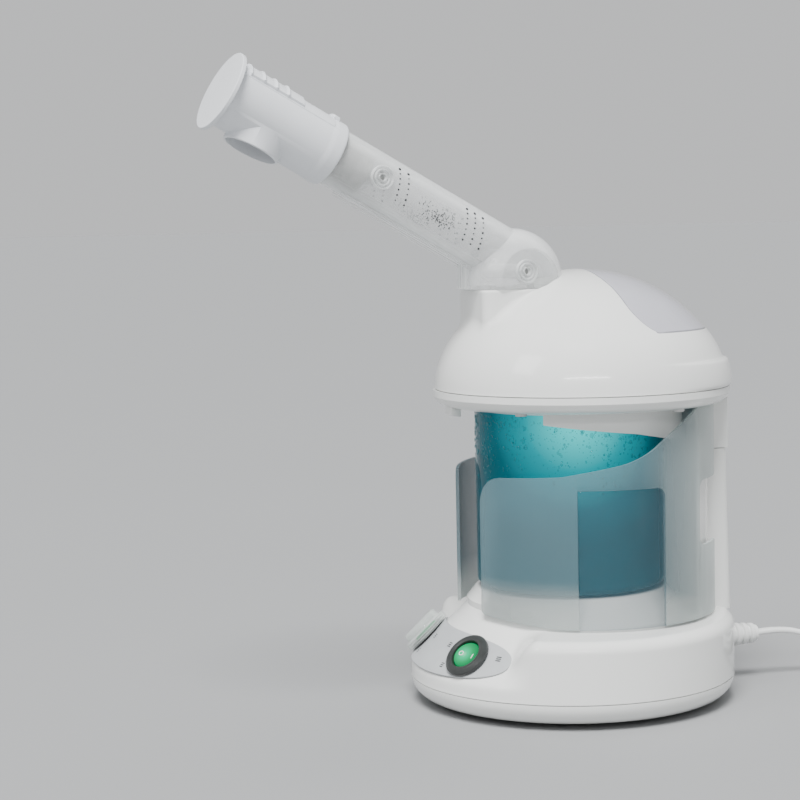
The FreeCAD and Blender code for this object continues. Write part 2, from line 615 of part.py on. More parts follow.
def heater(above):
    """The heater's flange, its U-shaped element in the jar and its thermal cut-out."""
    flange = cylinder("heater_plate", 18, 2.0, (0, 8, above))
    plug = cylinder("heater_plug", 12.9, 5.6, (0, 8, above - 5.6))
    keep(fuse("heater_flange", flange, plug))
    legs = [cylinder(f"heater_leg{i}", 3.2, 78, (x, 8, above - 83.6)) for i, x in enumerate((-9, 9))]
    bend = doc.addObject("Part::Torus", "heater_bend")
    bend.Radius1 = 9
    bend.Radius2 = 3.2
    bend.Angle3 = 180
    move(bend, (0, 8, above - 83.6), FreeCAD.Rotation(ACROSS, -90))
    keep(fuse("heater_element", *legs, bend))
    keep(cylinder("thermal_cutout", 7.5, 6, (0, 8, above + 2.0)))


def lamp_and_duct(above):
    """The lamp beside the heater, and the duct that carries the steam up to the arm."""
    keep(cylinder("lamp_holder", 7, 8, (26, -8, above)))
    glass = cylinder("lamp_glass", 5.0, 26, (26, -8, above - 26))
    keep(fuse("ozone_lamp", glass, ball("lamp_tip", 5.0, (26, -8, above - 26))))
    outer, inner, top, y = dim("duct_out_r"), dim("duct_in_r"), dim("duct_top"), dim("swivel_y")
    pipe = tube("duct_pipe", outer, inner, top - above, (0, y, above))
    foot = tube("duct_foot", 15, inner, 2.2, (0, y, above))
    keep(fuse("steam_duct", pipe, foot))
    keep(tube("duct_seal", dim("spigot_bore_r") - 0.06, outer, 2.0, (0, y, top - 3.0)))


def boiler():
    """What closes the jar and makes the steam."""
    boiler_cap()
    above = dim("seam_z") + 2.0
    heater(above)
    lamp_and_duct(above)


def head_screws():
    """Screws that hold the dome to the lower shell."""
    spots = [(x, y, SIZES["head_plate_z"]) for x, y in HEAD_SCREW_SPOTS]
    screws("head_screws", spots, (0, 0, -1), 3.0, 1.4, 1.3, 9.0)


def water_jar():
    """The glass jar with bayonet lugs under its rim."""
    radius, thick, low, top = dim("jar_r"), dim("jar_wall"), dim("jar_low"), dim("jar_top")
    keep(turned("water_jar", [
        (0, low), (radius - 4, low, 4), (radius, low + 4), (radius, top - 4.6), (dim("lug_r"), top - 4.0),
        (dim("lug_r"), top - 1.4), (radius, top - 0.8), (radius, top), (radius - thick, top),
        (radius - thick, low + 7, -4), (radius - thick - 4, low + 3), (0, low + 3)]))


# ---------------------------------------------------------------- arm, in its own upright frame at the swivel

ARM_WAY = FreeCAD.Vector(0, -math.cos(math.radians(SIZES["arm_tilt"])), math.sin(math.radians(SIZES["arm_tilt"])))
SWIVEL = FreeCAD.Placement(FreeCAD.Vector(0, SIZES["swivel_y"], 0), FreeCAD.Rotation(UP, SIZES["swivel_rest"]))
DOWN_ARM = FreeCAD.Vector(0, -1, 0)


def along(distance):
    """A point on the arm's axis."""
    spot = FreeCAD.Vector(0, 0, SIZES["arm_z"]) + ARM_WAY * distance
    return spot.x, spot.y, spot.z


def arm_frame(distance):
    """The frame of a piece made about +Z, at a distance along the arm and pointing outwards."""
    tilt = FreeCAD.Rotation(ACROSS, 90.0 - SIZES["arm_tilt"])
    return FreeCAD.Placement(FreeCAD.Vector(*along(distance)), tilt)


def on_arm(thing, distance):
    thing.Placement = SWIVEL.multiply(arm_frame(distance))
    return thing


def elbow(name, radius, half, floor_z):
    """A ball over a short round foot, flat at both sides and above its floor."""
    top = dim("elbow_z")
    round_part = ball(name + "_ball", radius, (0, 0, top))
    foot = cylinder(name + "_foot", radius, top - floor_z, (0, 0, floor_z))
    room = box(name + "_sides", (-half, -40, floor_z), (half, 40, top + 40))
    return common(name, fuse(name + "_whole", round_part, foot), room)


def arm_rails(foot_z):
    """The rail under the tube and the short rail down the front of the elbow."""
    half, deep, start, end = dim("rail_half"), dim("rail_deep"), 18, 106
    rail = box("arm_rail", (-half, -deep, start), (half, -8, end))
    corner = FreeCAD.Vector(-SIZES["rail_half"], -SIZES["rail_deep"], start)
    rail.Placement = arm_frame(0).multiply(FreeCAD.Placement(corner, FreeCAD.Rotation()))
    front = dim("foot_rail_front")
    return rail, box("foot_rail", (-half, -front, foot_z), (half, 3 - dim("elbow_r"), foot_z + 13))


def arm_pillars():
    """The two screw pillars across the arm: their bodies, the cuts in them and the screw spots."""
    near = (SIZES["boss_near_y"], SIZES["boss_near_z"])
    far = along(SIZES["boss_far"])[1:]
    pillars, cuts, spots = [], [], []
    for i, (level, half) in enumerate(((near, dim("boss_half_near")), (far, dim("boss_half_far")))):
        pillars.append(cylinder(f"arm_pillar{i}", dim("boss_r"), half * 2, (-half,) + level, ACROSS))
        cuts.append(cylinder(f"arm_screw_hole{i}", 1.3, half * 2 - 5, (-half + 5,) + level, ACROSS))
        cuts.append(cylinder(f"arm_screw_sink{i}", 2.6, 5.2, (half - 5.2,) + level, ACROSS))
        spots.append((number(half) - 5.2,) + level)
    return pillars, cuts, spots


def arm_shells():
    """The two clear halves of the arm: elbow, foot, tube, rails, pillars and spigot."""
    foot_z, low, shell = dim("turret_top") + dim("foot_gap"), dim("spigot_low"), dim("arm_wall")
    pipe = cylinder("arm_pipe", dim("arm_r"), dim("arm_end"), along(0), ARM_WAY)
    spigot = cylinder("arm_spigot", dim("spigot_r"), foot_z + 2 - low, (0, 0, low))
    hood = elbow("elbow", dim("elbow_r"), dim("elbow_half"), foot_z)
    solid = fuse("arm_solid", pipe, hood, spigot, *arm_rails(foot_z))
    bore = cylinder("arm_bore", dim("arm_bore_r"), dim("arm_end") + 5, along(0), ARM_WAY)
    room = elbow("elbow_room", dim("elbow_r") - shell, dim("elbow_half") - shell, foot_z + 2)
    drop = cylinder("spigot_bore", dim("spigot_bore_r"), 24, (0, 0, low - 2))
    pillars, cuts, spots = arm_pillars()
    hollow = cut("arm_hollow", solid, bore, room, drop)
    whole = cut("arm_whole", fuse("arm_with_pillars", hollow, *pillars), *cuts)
    for name, left, right in (("arm_left_shell", -60, -0.02), ("arm_right_shell", 0.02, 60)):
        side = box(name + "_side", (left, -200, 150), (right, 60, 400))
        keep(common(name, whole, side)).Placement = SWIVEL
    screws("arm_screws", spots, (1, 0, 0), 2.5, 1.6, 1.25, 20.0).Placement = SWIVEL
    under = dim("turret_top") - wall - 3.4
    keep(tube("swivel_retainer", 17.5, dim("spigot_r"), 3.0, (0, 0, under))).Placement = SWIVEL


def nozzle_sleeve():
    """The telescoping sleeve and the ring that holds the nozzle on its lip."""
    start, bore = dim("sleeve_start"), dim("sleeve_bore_r")
    radius, lip = dim("sleeve_r"), dim("nozzle_bore_r") - 0.08
    long = dim("sleeve_end") - start
    sleeve = turned("nozzle_sleeve", [
        (bore, 0), (radius, 0), (radius, long), (lip, long), (lip, long + 3), (bore, long + 3)])
    keep(on_arm(sleeve, SIZES["sleeve_start"]))
    ring = turned("sleeve_ring", [(bore + 0.5, 0), (lip, 0), (lip, 1.6), (bore + 0.5, 1.6)])
    keep(on_arm(ring, SIZES["sleeve_end"] + 3.0))


def nozzle_head():
    """The white nozzle that turns on the sleeve, with its end disc, spout and grip."""
    mouth, collar_r, outer = dim("arm_r") + 0.5, dim("nozzle_collar_r"), dim("nozzle_r")
    inner, disc_r, thick, half = dim("nozzle_bore_r"), dim("disc_r"), dim("disc_thick"), dim("grip_half")
    collar, last = dim("collar_long"), dim("nozzle_end") - dim("collar_start")
    shell = turned("nozzle_shell", [
        (mouth, 0), (collar_r, 0), (collar_r, collar), (outer, collar + 1.2), (outer, last),
        (disc_r, last), (disc_r, last + thick), (0, last + thick), (0, last), (inner, last),
        (inner, collar + 6.5), (mouth, collar + 6.5)])
    outlet_at, spout_r = dim("outlet_at") - dim("collar_start"), dim("outlet_r")
    bore_r = spout_r - dim("outlet_wall")
    spout = cylinder("outlet_pipe", spout_r, dim("outlet_reach"), (0, 0, outlet_at), DOWN_ARM)
    drill = cylinder("outlet_bore", bore_r, 30, (0, 0, outlet_at), DOWN_ARM)
    room = cylinder("nozzle_room", inner, last - collar - 7, (0, 0, collar + 6.6))
    core = cylinder("nozzle_core", inner, 30, (0, 0, 24))
    tile = box("grip_tile", (-half, 12, last - 32), (half, outer + 1.6, last - 3))
    ribs = []
    for i in range(5):
        low = last - 30 + 5.6 * i
        ribs.append(box(f"grip_rib{i}", (1 - half, 15, low), (half - 1, outer + 2.8, low + 1)))
    keep(on_arm(cut("nozzle_head", fuse("nozzle_solid", shell, spout, tile, *ribs), drill, room, core),
                SIZES["collar_start"]))
    outlet_grille(bore_r - 0.05, outlet_at)


def outlet_grille(radius, outlet_at):
    """A thin disc with five slots across the spout."""
    disc = cylinder("outlet_mesh_disc", radius, 0.8, (0, -16.2, outlet_at), DOWN_ARM)
    slots = []
    for i in range(-2, 3):
        long = 10.5 - abs(i) * 1.6
        slots.append(box(f"mesh_slot{i + 2}", (4.2 * i - 1.4, -18, outlet_at - long),
                         (4.2 * i + 1.4, -15, outlet_at + long)))
    keep(on_arm(cut("outlet_grille", disc, *slots), SIZES["collar_start"]))


# ---------------------------------------------------------------- cord

def cord_tube():
    """Straight runs joined by tangent arcs along the route, swept as one tube."""
    points = [FreeCAD.Vector(*p) for p in CORD_ROUTE]
    edges = []
    here = points[0]
    for before, corner, after in zip(points, points[1:], points[2:]):
        come, leave = corner - before, after - corner
        turn = come.getAngle(leave)
        trim = 0.45 * min(come.Length, leave.Length)
        radius = trim / math.tan(turn / 2)
        print("cord radius", round(radius, 1))
        enter = corner - come.normalize() * trim
        exit_spot = corner + leave.normalize() * trim
        inward = (leave - come).normalize()
        middle = corner + inward * (math.hypot(radius, trim) - radius)
        edges.append(Part.LineSegment(here, enter).toShape())
        edges.append(Part.Arc(enter, middle, exit_spot).toShape())
        here = exit_spot
    edges.append(Part.LineSegment(here, points[-1]).toShape())
    path = Part.Wire(edges)
    start = (points[1] - points[0]).normalize()
    section = Part.Wire(Part.Circle(points[0], start, SIZES["cord_d"] / 2).toShape())
    solid = path.makePipeShell([section], True, False)
    expected = math.pi * (SIZES["cord_d"] / 2) ** 2 * path.Length
    print("cord volume", round(solid.Volume / expected, 4), "length", round(path.Length, 1))
    piece = doc.addObject("Part::Feature", "cord_tube")
    piece.Shape = solid
    keep(piece)


def cord_coil_and_plug():
    """The put-away coil as one solid, the lead's last stretch and its two-pin plug."""
    spot = (dim("coil_x"), dim("coil_y"), 0.1)
    keep(tube("cord_coil", dim("coil_out_r"), dim("coil_in_r"), dim("coil_high"), spot))
    back = FreeCAD.Vector(0, 1, 0)
    exit_x = CORD_ROUTE[-1][0]
    plug_y = dim("plug_y")
    start = (exit_x, dim("coil_y"), PLUG_LEVEL)
    keep(cylinder("cord_end", dim("cord_d") * 0.5, plug_y - dim("coil_y"), start, back))
    boot = turned("plug_boot", [(0, 0), (3.4, 0), (4.6, 16), (6.5, 18), (0, 18)])
    move(boot, (exit_x, plug_y, PLUG_LEVEL), FreeCAD.Rotation(UP, back))
    body = box("plug_body", (exit_x - 12, plug_y + 17, PLUG_LEVEL - 7.5),
               (exit_x + 12, plug_y + 40, PLUG_LEVEL + 7.5))
    pins = []
    for i, x in enumerate((exit_x - 6.35, exit_x + 6.35)):
        pins.append(box(f"plug_pin{i}", (x - 0.8, plug_y + 39, PLUG_LEVEL - 3),
                        (x + 0.8, plug_y + 57, PLUG_LEVEL + 3)))
    keep(fuse("mains_plug", boot, body, *pins))


def check_and_write():
    """Refuse a failed object or an invalid shape, then write one file for each node."""
    doc.recompute()
    failed = [o.Name for o in doc.Objects if set(o.State) & {"Invalid", "Error"}]
    for node in nodes:
        shape = node.Shape
        if shape.isNull() or not shape.isValid() or not shape.Solids:
            failed.append(node.Label)
    if failed:
        raise RuntimeError("failed objects: " + ", ".join(failed))
    os.makedirs("parts", exist_ok=True)
    for node in nodes:
        node.Shape.exportStep(f"parts/{node.Label}.step")
        print(node.Label, len(node.Shape.Solids), round(node.Shape.Volume))


foot_ring()
base_cover()
base_housing()
control_panel_plate()
round_switch("power_switch", 1)
round_switch("ozone_switch", -1)
ozone_switch_cap()
base_insides()
strain_relief()
splash_guard()
head_dome()
rear_lid()
head_base()
jar_skirt()
boiler()
head_screws()
water_jar()
arm_shells()
nozzle_sleeve()
nozzle_head()
cord_tube()
cord_coil_and_plug()
check_and_write()
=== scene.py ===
import json
import math
import random

import bmesh
import bpy
import numpy as np
from mathutils import Matrix, Vector


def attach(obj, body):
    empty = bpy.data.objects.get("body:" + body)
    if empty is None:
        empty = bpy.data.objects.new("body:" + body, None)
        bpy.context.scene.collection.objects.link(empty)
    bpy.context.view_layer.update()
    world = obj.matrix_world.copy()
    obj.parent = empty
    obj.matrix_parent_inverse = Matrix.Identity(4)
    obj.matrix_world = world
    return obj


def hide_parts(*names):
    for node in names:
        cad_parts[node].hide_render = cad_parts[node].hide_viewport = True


# A tabletop facial steamer.  Shapes are worked out in millimetres and built in metres.
# +Z is up and -Y is the front, where the two switches are.

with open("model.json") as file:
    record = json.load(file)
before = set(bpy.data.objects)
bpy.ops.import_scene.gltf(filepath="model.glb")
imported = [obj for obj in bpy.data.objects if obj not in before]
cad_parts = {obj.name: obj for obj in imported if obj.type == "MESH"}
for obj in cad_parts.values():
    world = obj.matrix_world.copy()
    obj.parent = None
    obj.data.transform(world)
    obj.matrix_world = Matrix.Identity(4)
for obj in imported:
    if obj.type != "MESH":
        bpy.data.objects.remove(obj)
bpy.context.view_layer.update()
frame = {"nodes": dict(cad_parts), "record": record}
scene = bpy.context.scene
MM = 0.001

# sizes that repeat those of the CAD source
HEAD_Y, GUARD_Y, SWIVEL_Y = 7.0, 8.5, -31.0
SEAM_Z, TURRET_Z, HINGE = 166.0, 218.5, (15.0, 221.0)
SHOULDER_R, TUBE_R, BORE_R, BASE_R, JAR_R = 65.2, 14.75, 10.15, 86.0, 49.62
CONE_SUM, SWITCH_DEG, SWITCH_Z = 107.4, 24.7, 31.7
ARM_TILT, ARM_Z, SWIVEL_REST = 28.75, 232.75, 8.0
NEAR_BOSS, FAR_BOSS, OUTLET = (-2.2, 227.7, 21.4), (91.0, 15.6), 154.0

# ---------------------------------------------------------------- camera

AROUND, DOWN, ROLL = math.radians(17), 0.087, 0.021
LEVEL = Vector((math.sin(AROUND), math.cos(AROUND), 0))
TOWARDS = Vector((math.cos(AROUND), -math.sin(AROUND), 0))
RISE = Vector((0, 0, 1))


def add_camera():
    """A long lens on the switch side, a little above the object and slightly rolled."""
    data = bpy.data.cameras.new("camera")
    data.lens = 92.57
    data.sensor_width = 36.0
    data.clip_start = 0.05
    data.clip_end = 60.0
    up0 = RISE * math.cos(DOWN) - TOWARDS * math.sin(DOWN)
    back = RISE * math.sin(DOWN) + TOWARDS * math.cos(DOWN)
    right = LEVEL * math.cos(ROLL) - up0 * math.sin(ROLL)
    up = LEVEL * math.sin(ROLL) + up0 * math.cos(ROLL)
    camera = bpy.data.objects.new("camera", data)
    camera.matrix_world = Matrix((right, up, back)).transposed().to_4x4()
    camera.location = LEVEL * -0.0891 + TOWARDS * 1.0856 + Vector((0, 0, 0.255))
    scene.collection.objects.link(camera)
    scene.camera = camera


# ---------------------------------------------------------------- materials

def surface(name, color, rough, spread=0.03, scale=60.0, bump=0.03, grain=900.0, **sockets):
    """A moulded surface: slight colour and gloss changes, and a fine skin from bump."""
    mat = bpy.data.materials.new(name)
    mat.use_nodes = True
    tree = mat.node_tree
    shader = tree.nodes["Principled BSDF"]
    place = tree.nodes.new("ShaderNodeTexCoord")
    broad = tree.nodes.new("ShaderNodeTexNoise")
    broad.inputs["Scale"].default_value = scale
    broad.inputs["Detail"].default_value = 4.0
    tree.links.new(place.outputs["Object"], broad.inputs["Vector"])
    ramp = tree.nodes.new("ShaderNodeValToRGB")
    low = [max(c * (1 - spread), 0.0) for c in color[:3]]
    high = [min(c * (1 + spread), 1.0) for c in color[:3]]
    ramp.color_ramp.elements[0].position = 0.3
    ramp.color_ramp.elements[0].color = (*low, 1)
    ramp.color_ramp.elements[1].position = 0.7
    ramp.color_ramp.elements[1].color = (*high, 1)
    tree.links.new(broad.outputs["Fac"], ramp.inputs["Fac"])
    tree.links.new(ramp.outputs["Color"], shader.inputs["Base Color"])
    gloss = tree.nodes.new("ShaderNodeMapRange")
    gloss.inputs["To Min"].default_value = max(rough - 0.04, 0.0)
    gloss.inputs["To Max"].default_value = rough + 0.04
    tree.links.new(broad.outputs["Fac"], gloss.inputs["Value"])
    tree.links.new(gloss.outputs["Result"], shader.inputs["Roughness"])
    if bump:
        fine = tree.nodes.new("ShaderNodeTexNoise")
        fine.inputs["Scale"].default_value = grain
        tree.links.new(place.outputs["Object"], fine.inputs["Vector"])
        press = tree.nodes.new("ShaderNodeBump")
        press.inputs["Strength"].default_value = bump
        press.inputs["Distance"].default_value = 0.0004
        tree.links.new(fine.outputs["Fac"], press.inputs["Height"])
        tree.links.new(press.outputs["Normal"], shader.inputs["Normal"])
    for socket, value in sockets.items():
        shader.inputs[socket.replace("_", " ")].default_value = value
    return mat


def add_map(tree, source, low, high):
    """A map range from one pair of values to another."""
    node = tree.nodes.new("ShaderNodeMapRange")
    node.inputs["From Min"].default_value, node.inputs["From Max"].default_value = low
    node.inputs["To Min"].default_value, node.inputs["To Max"].default_value = high
    tree.links.new(source, node.inputs["Value"])
    return node.outputs["Result"]


def clear(name, color, rough, alpha, spread=0.03, scale=60.0, bump=0.02, grain=900.0, **sockets):
    """A clear or frosted plastic: alpha is a pair, where it faces the eye and where it turns away."""
    mat = surface(name, color, rough, spread, scale, bump, grain, **sockets)
    tree = mat.node_tree
    facing = tree.nodes.new("ShaderNodeLayerWeight")
    facing.inputs["Blend"].default_value = 0.5
    alpha_map = add_map(tree, facing.outputs["Facing"], (0.25, 0.95), alpha)
    tree.links.new(alpha_map, tree.nodes["Principled BSDF"].inputs["Alpha"])
    return mat


def near_spot(tree, spot, low, high):
    """1 close to a point of the object, in millimetres, and 0 far from it."""
    place = tree.nodes.new("ShaderNodeTexCoord")
    gap = tree.nodes.new("ShaderNodeVectorMath")
    gap.operation = "DISTANCE"
    gap.inputs[1].default_value = [c * MM for c in spot]
    tree.links.new(place.outputs["Object"], gap.inputs[0])
    return add_map(tree, gap.outputs["Value"], (low * MM, high * MM), (1.0, 0.0))


def glow(mat, fac, colors, strength):
    """Emission along a ramp of (position, colour)."""
    tree = mat.node_tree
    ramp = tree.nodes.new("ShaderNodeValToRGB")
    ramp.color_ramp.elements[0].position, ramp.color_ramp.elements[0].color = colors[0]
    ramp.color_ramp.elements[1].position, ramp.color_ramp.elements[1].color = colors[-1]
    for position, color in colors[1:-1]:
        ramp.color_ramp.elements.new(position).color = color
    tree.links.new(fac, ramp.inputs["Fac"])
    shader = tree.nodes["Principled BSDF"]
    tree.links.new(ramp.outputs["Color"], shader.inputs["Emission Color"])
    shader.inputs["Emission Strength"].default_value = strength
    return mat


def jar_glass():
    """Teal glass with a painted glow: emission is brightest at a spot on the jar's top towards the camera and
    darker away from it, standing in for light inside the jar.
    """
    mat = surface("teal_glass", (0.0, 0.06, 0.08), 0.10, 0.2, 30.0, 0.02, 300.0, Specular_IOR_Level=0.12)
    # painted glow: emission fading with distance from a spot on the jar's top that faces the camera
    painted_glow = near_spot(mat.node_tree, (47, -14, 153), 3, 66)
    colors = ((0.0, (0.0, 0.012, 0.018, 1)), (0.30, (0.0, 0.06, 0.08, 1)), (0.60, (0.0, 0.30, 0.35, 1)),
              (1.0, (0.05, 1.0, 1.0, 1)))
    return glow(mat, painted_glow, colors, 1.05)


def guard_frost():
    """Frosted bluish plastic with painted show-through light: painted nearly white low down, before the
    pedestal, and at the rear, before the rear column.
    """
    mat = clear("frosted_guard", (0.15, 0.26, 0.30), 0.34, (0.36, 0.86), 0.03, 60.0, 0.04, 2600.0)
    tree = mat.node_tree
    place = tree.nodes.new("ShaderNodeTexCoord")
    split = tree.nodes.new("ShaderNodeSeparateXYZ")
    tree.links.new(place.outputs["Object"], split.inputs["Vector"])
    # painted show-through light: the colour turns pale below about 65 mm and towards the rear, standing in for
    # light from the white pedestal and column behind
    pale = tree.nodes.new("ShaderNodeMath")
    pale.operation = "MAXIMUM"
    tree.links.new(add_map(tree, split.outputs["Z"], (58 * MM, 72 * MM), (1.0, 0.0)), pale.inputs[0])
    tree.links.new(add_map(tree, split.outputs["Y"], (12 * MM, 52 * MM), (0.0, 1.0)), pale.inputs[1])
    painted_show_through_mix = tree.nodes.new("ShaderNodeMix")
    painted_show_through_mix.data_type = "RGBA"
    shader = tree.nodes["Principled BSDF"]
    tree.links.new(pale.outputs["Value"], painted_show_through_mix.inputs[0])
    tree.links.new(shader.inputs["Base Color"].links[0].from_socket, painted_show_through_mix.inputs[6])
    painted_show_through_mix.inputs[7].default_value = (0.52, 0.58, 0.57, 1)
    tree.links.new(painted_show_through_mix.outputs[2], shader.inputs["Base Color"])
    return mat


def rocker_green():
    """Green plastic lit from inside, brightest at the middle of each rocker."""
    mat = surface("rocker_green", (0.0, 0.09, 0.03), 0.16, 0.08, 90.0, 0.02, 700.0, Specular_IOR_Level=0.2)
    tree = mat.node_tree
    both = tree.nodes.new("ShaderNodeMath")
    both.operation = "MAXIMUM"
    for i, side in enumerate((1, -1)):
        tree.links.new(near_spot(tree, switch_seat(side) @ Vector((-1.5, 0, 3)), 0.5, 9.0), both.inputs[i])
    colors = ((0.0, (0.0, 0.08, 0.02, 1)), (0.45, (0.0, 0.36, 0.11, 1)), (0.84, (0.0, 0.80, 0.36, 1)),
              (1.0, (0.3, 1.0, 0.6, 1)))
    return glow(mat, both.outputs["Value"], colors, 1.0)


def switch_seat(side):
    """The frame of a switch on the slope: side is 1 for the near one and -1 for the far one."""
    r = CONE_SUM - SWITCH_Z
    a = math.radians(SWITCH_DEG * side)
    return at(r * math.sin(a), -r * math.cos(a), SWITCH_Z) @ turn(SWITCH_DEG * side, "Z") @ turn(45, "X")


def at(x=0.0, y=0.0, z=0.0):
    """A move."""
    return Matrix.Translation((x, y, z))


def turn(degrees, axis):
    """A turn about X, Y or Z."""
    return Matrix.Rotation(math.radians(degrees), 4, axis)


MATERIALS = {
    "white_shell": surface("white_shell", (0.82, 0.83, 0.81), 0.17, 0.012, 25.0, 0.01, 500.0, Coat_Weight=0.5),
    "nozzle_white": surface("nozzle_white", (0.75, 0.77, 0.80), 0.36, 0.02, 40.0, 0.03, 900.0),
    "panel_silver": surface("panel_silver", (0.50, 0.52, 0.53), 0.42, 0.03, 120.0, 0.05, 1800.0, Metallic=0.15),
    "switch_charcoal": surface("switch_charcoal", (0.035, 0.038, 0.037), 0.36, 0.1, 200.0, 0.1, 2500.0),
    "rocker_green": rocker_green(),
    "clear_cap": clear("clear_cap", (0.88, 0.93, 0.90), 0.06, (0.12, 0.55), 0.02, 60.0, 0.02, 500.0,
                       Coat_Weight=0.8),
    "steel": surface("steel", (0.55, 0.55, 0.54), 0.3, 0.08, 150.0, 0.1, 2500.0, Metallic=1.0),
    "aluminium": surface("aluminium", (0.70, 0.70, 0.70), 0.35, 0.05, 150.0, 0.1, 2500.0, Metallic=1.0),
    "board_green": surface("board_green", (0.02, 0.16, 0.07), 0.4, 0.1, 200.0, 0.1, 2500.0),
    "terminal_white": surface("terminal_white", (0.7, 0.7, 0.66), 0.5, 0.04, 90.0, 0.08, 1500.0),
    "wire_grey": surface("wire_grey", (0.22, 0.22, 0.24), 0.5, 0.06, 90.0, 0.08, 1500.0),
    "cord_white": surface("cord_white", (0.78, 0.79, 0.78), 0.42, 0.03, 70.0, 0.05, 1400.0),
    "rubber_black": surface("rubber_black", (0.03, 0.03, 0.03), 0.7, 0.2, 150.0, 0.3, 2200.0),
    "seal_silicone": surface("seal_silicone", (0.70, 0.70, 0.67), 0.5, 0.04, 80.0, 0.08, 1500.0),
    "frosted_guard": guard_frost(),
    "clear_window": clear("clear_window", (0.10, 0.20, 0.25), 0.10, (0.15, 0.60), 0.02, 60.0, 0.01, 900.0,
                          Coat_Weight=0.4),
    "smoke_lid": clear("smoke_lid", (0.60, 0.60, 0.66), 0.05, (0.70, 0.92), 0.03, 50.0, 0.005, 700.0,
                       Coat_Weight=1.0),
    "teal_glass": jar_glass(),
    "clear_arm": clear("clear_arm", (0.92, 0.94, 0.94), 0.10, (0.27, 0.97), 0.05, 260.0, 0.05, 1200.0,
                       Coat_Weight=0.6),
    "sleeve_clear": clear("sleeve_clear", (0.60, 0.60, 0.57), 0.28, (0.50, 0.9), 0.14, 320.0, 0.25, 900.0),
    "lamp_glass": surface("lamp_glass", (0.8, 0.85, 0.95), 0.1, 0.03, 60.0, 0.02, 500.0, Alpha=0.4),
    "cap_white": surface("cap_white", (0.74, 0.74, 0.72), 0.45, 0.03, 60.0, 0.06, 1500.0),
    "grille_grey": surface("grille_grey", (0.14, 0.145, 0.15), 0.5, 0.1, 90.0, 0.1, 1500.0),
    "mark_grey": surface("mark_grey", (0.02, 0.022, 0.024), 0.5, 0.1, 200.0, 0.05, 1500.0),
    "droplet": clear("droplet", (0.0, 0.26, 0.31), 0.03, (0.30, 0.95), 0.35, 400.0, 0.0, 500.0),
}


# ---------------------------------------------------------------- mesh helpers, in millimetres

def rounded(points, closed=False, steps=6):
    """A path through points; a third number rounds its corner by that radius."""
    path = []
    count = len(points)
    for i, point in enumerate(points):
        here = Vector(point[:2])
        radius = point[2] if len(point) > 2 else 0
        if radius <= 0 or (not closed and i in (0, count - 1)):
            path.append(tuple(here))
            continue
        back = Vector(points[i - 1][:2]) - here
        on = Vector(points[(i + 1) % count][:2]) - here
        half = back.angle(on) / 2
        trim = min(radius / math.tan(half), back.length * 0.98, on.length * 0.98)
        back.normalize()
        on.normalize()
        centre = here + (back + on).normalized() * trim / math.cos(half)
        first = here + back * trim - centre
        last = here + on * trim - centre
        bend = first.angle_signed(last)
        for k in range(steps + 1):
            arm = first.copy()
            arm.rotate(Matrix.Rotation(-bend * k / steps, 2))
            path.append(tuple(centre + arm))
    return path


def skin(rows, loop=True, wrap=False, caps=False):
    """Quads between rows of points.  wrap joins the last row to the first, caps closes the two ends."""
    rows = [np.asarray(row, dtype=float) for row in rows]
    width, count = len(rows[0]), len(rows)
    faces = []
    for i in range(count if wrap else count - 1):
        a, b = i * width, ((i + 1) % count) * width
        for j in range(width if loop else width - 1):
            k = (j + 1) % width
            faces.append((a + j, a + k, b + k, b + j))
    if caps:
        faces.append(tuple(range(width)))
        faces.append(tuple(range((count - 1) * width, count * width)))
    return np.concatenate(rows), faces


def slab(top, low):
    """A closed block between two grids of points of the same size."""
    verts, faces = skin(top, False)
    more, other = skin(low, False)
    count, width, deep = len(verts), len(top[0]), len(top)
    faces += [tuple(count + i for i in face) for face in other]
    rim = list(range(width)) + [r * width + width - 1 for r in range(1, deep)]
    rim += [(deep - 1) * width + i for i in range(width - 2, -1, -1)]
    rim += [r * width for r in range(deep - 2, 0, -1)]
    faces += [(a, b, count + b, count + a) for a, b in zip(rim, rim[1:] + rim[:1])]
    return np.concatenate([verts, more]), faces


def lathe(profile, steps=128, closed=True, start=0.0, sweep=360.0):
    """A profile of (radius, height) turned about Z; angles count from the front."""
    full = sweep >= 360.0
    turns = np.radians(start + sweep * np.arange(steps + (0 if full else 1)) / steps)
    rows = [np.stack([r * np.sin(turns), -r * np.cos(turns), np.full(len(turns), z)], 1) for r, z in profile]
    verts, faces = skin(rows, full, closed)
    if not full:
        width = len(turns)
        faces.append(tuple(i * width for i in range(len(profile))))
        faces.append(tuple(i * width + width - 1 for i in range(len(profile))))
    return verts, faces


def bar(x, y, low, high, half=0.32):
    """A thin straight line of plastic along Z."""
    line = rounded([(x - half, y - half, 0.15), (x + half, y - half, 0.15), (x + half, y + half, 0.15),
                    (x - half, y + half, 0.15)], True, 3)
    return skin([[(u, v, d) for u, v in line] for d in (low, high)], True, caps=True)


def shift(part, matrix):
    """The same vertices and faces, moved by a matrix."""
    verts, faces = part
    return verts @ np.array(matrix.to_3x3()).T + np.array(matrix.translation), faces


def make(name, parts, sharp=35.0):
    """One object from parts of vertices and faces."""
    bm = bmesh.new()
    for verts, faces in parts:
        made = [bm.verts.new(Vector(v) * MM) for v in verts]
        for face in faces:
            if len(set(face)) > 2:
                bm.faces.new([made[i] for i in face])
    bmesh.ops.remove_doubles(bm, verts=bm.verts, dist=2e-6)
    bmesh.ops.dissolve_degenerate(bm, edges=bm.edges, dist=1e-6)
    bmesh.ops.recalc_face_normals(bm, faces=bm.faces)
    mesh = bpy.data.meshes.new(name)
    bm.to_mesh(mesh)
    bm.free()
    mesh.shade_smooth()
    mesh.set_sharp_from_angle(angle=math.radians(sharp))
    obj = bpy.data.objects.new(name, mesh)
    scene.collection.objects.link(obj)
    return obj


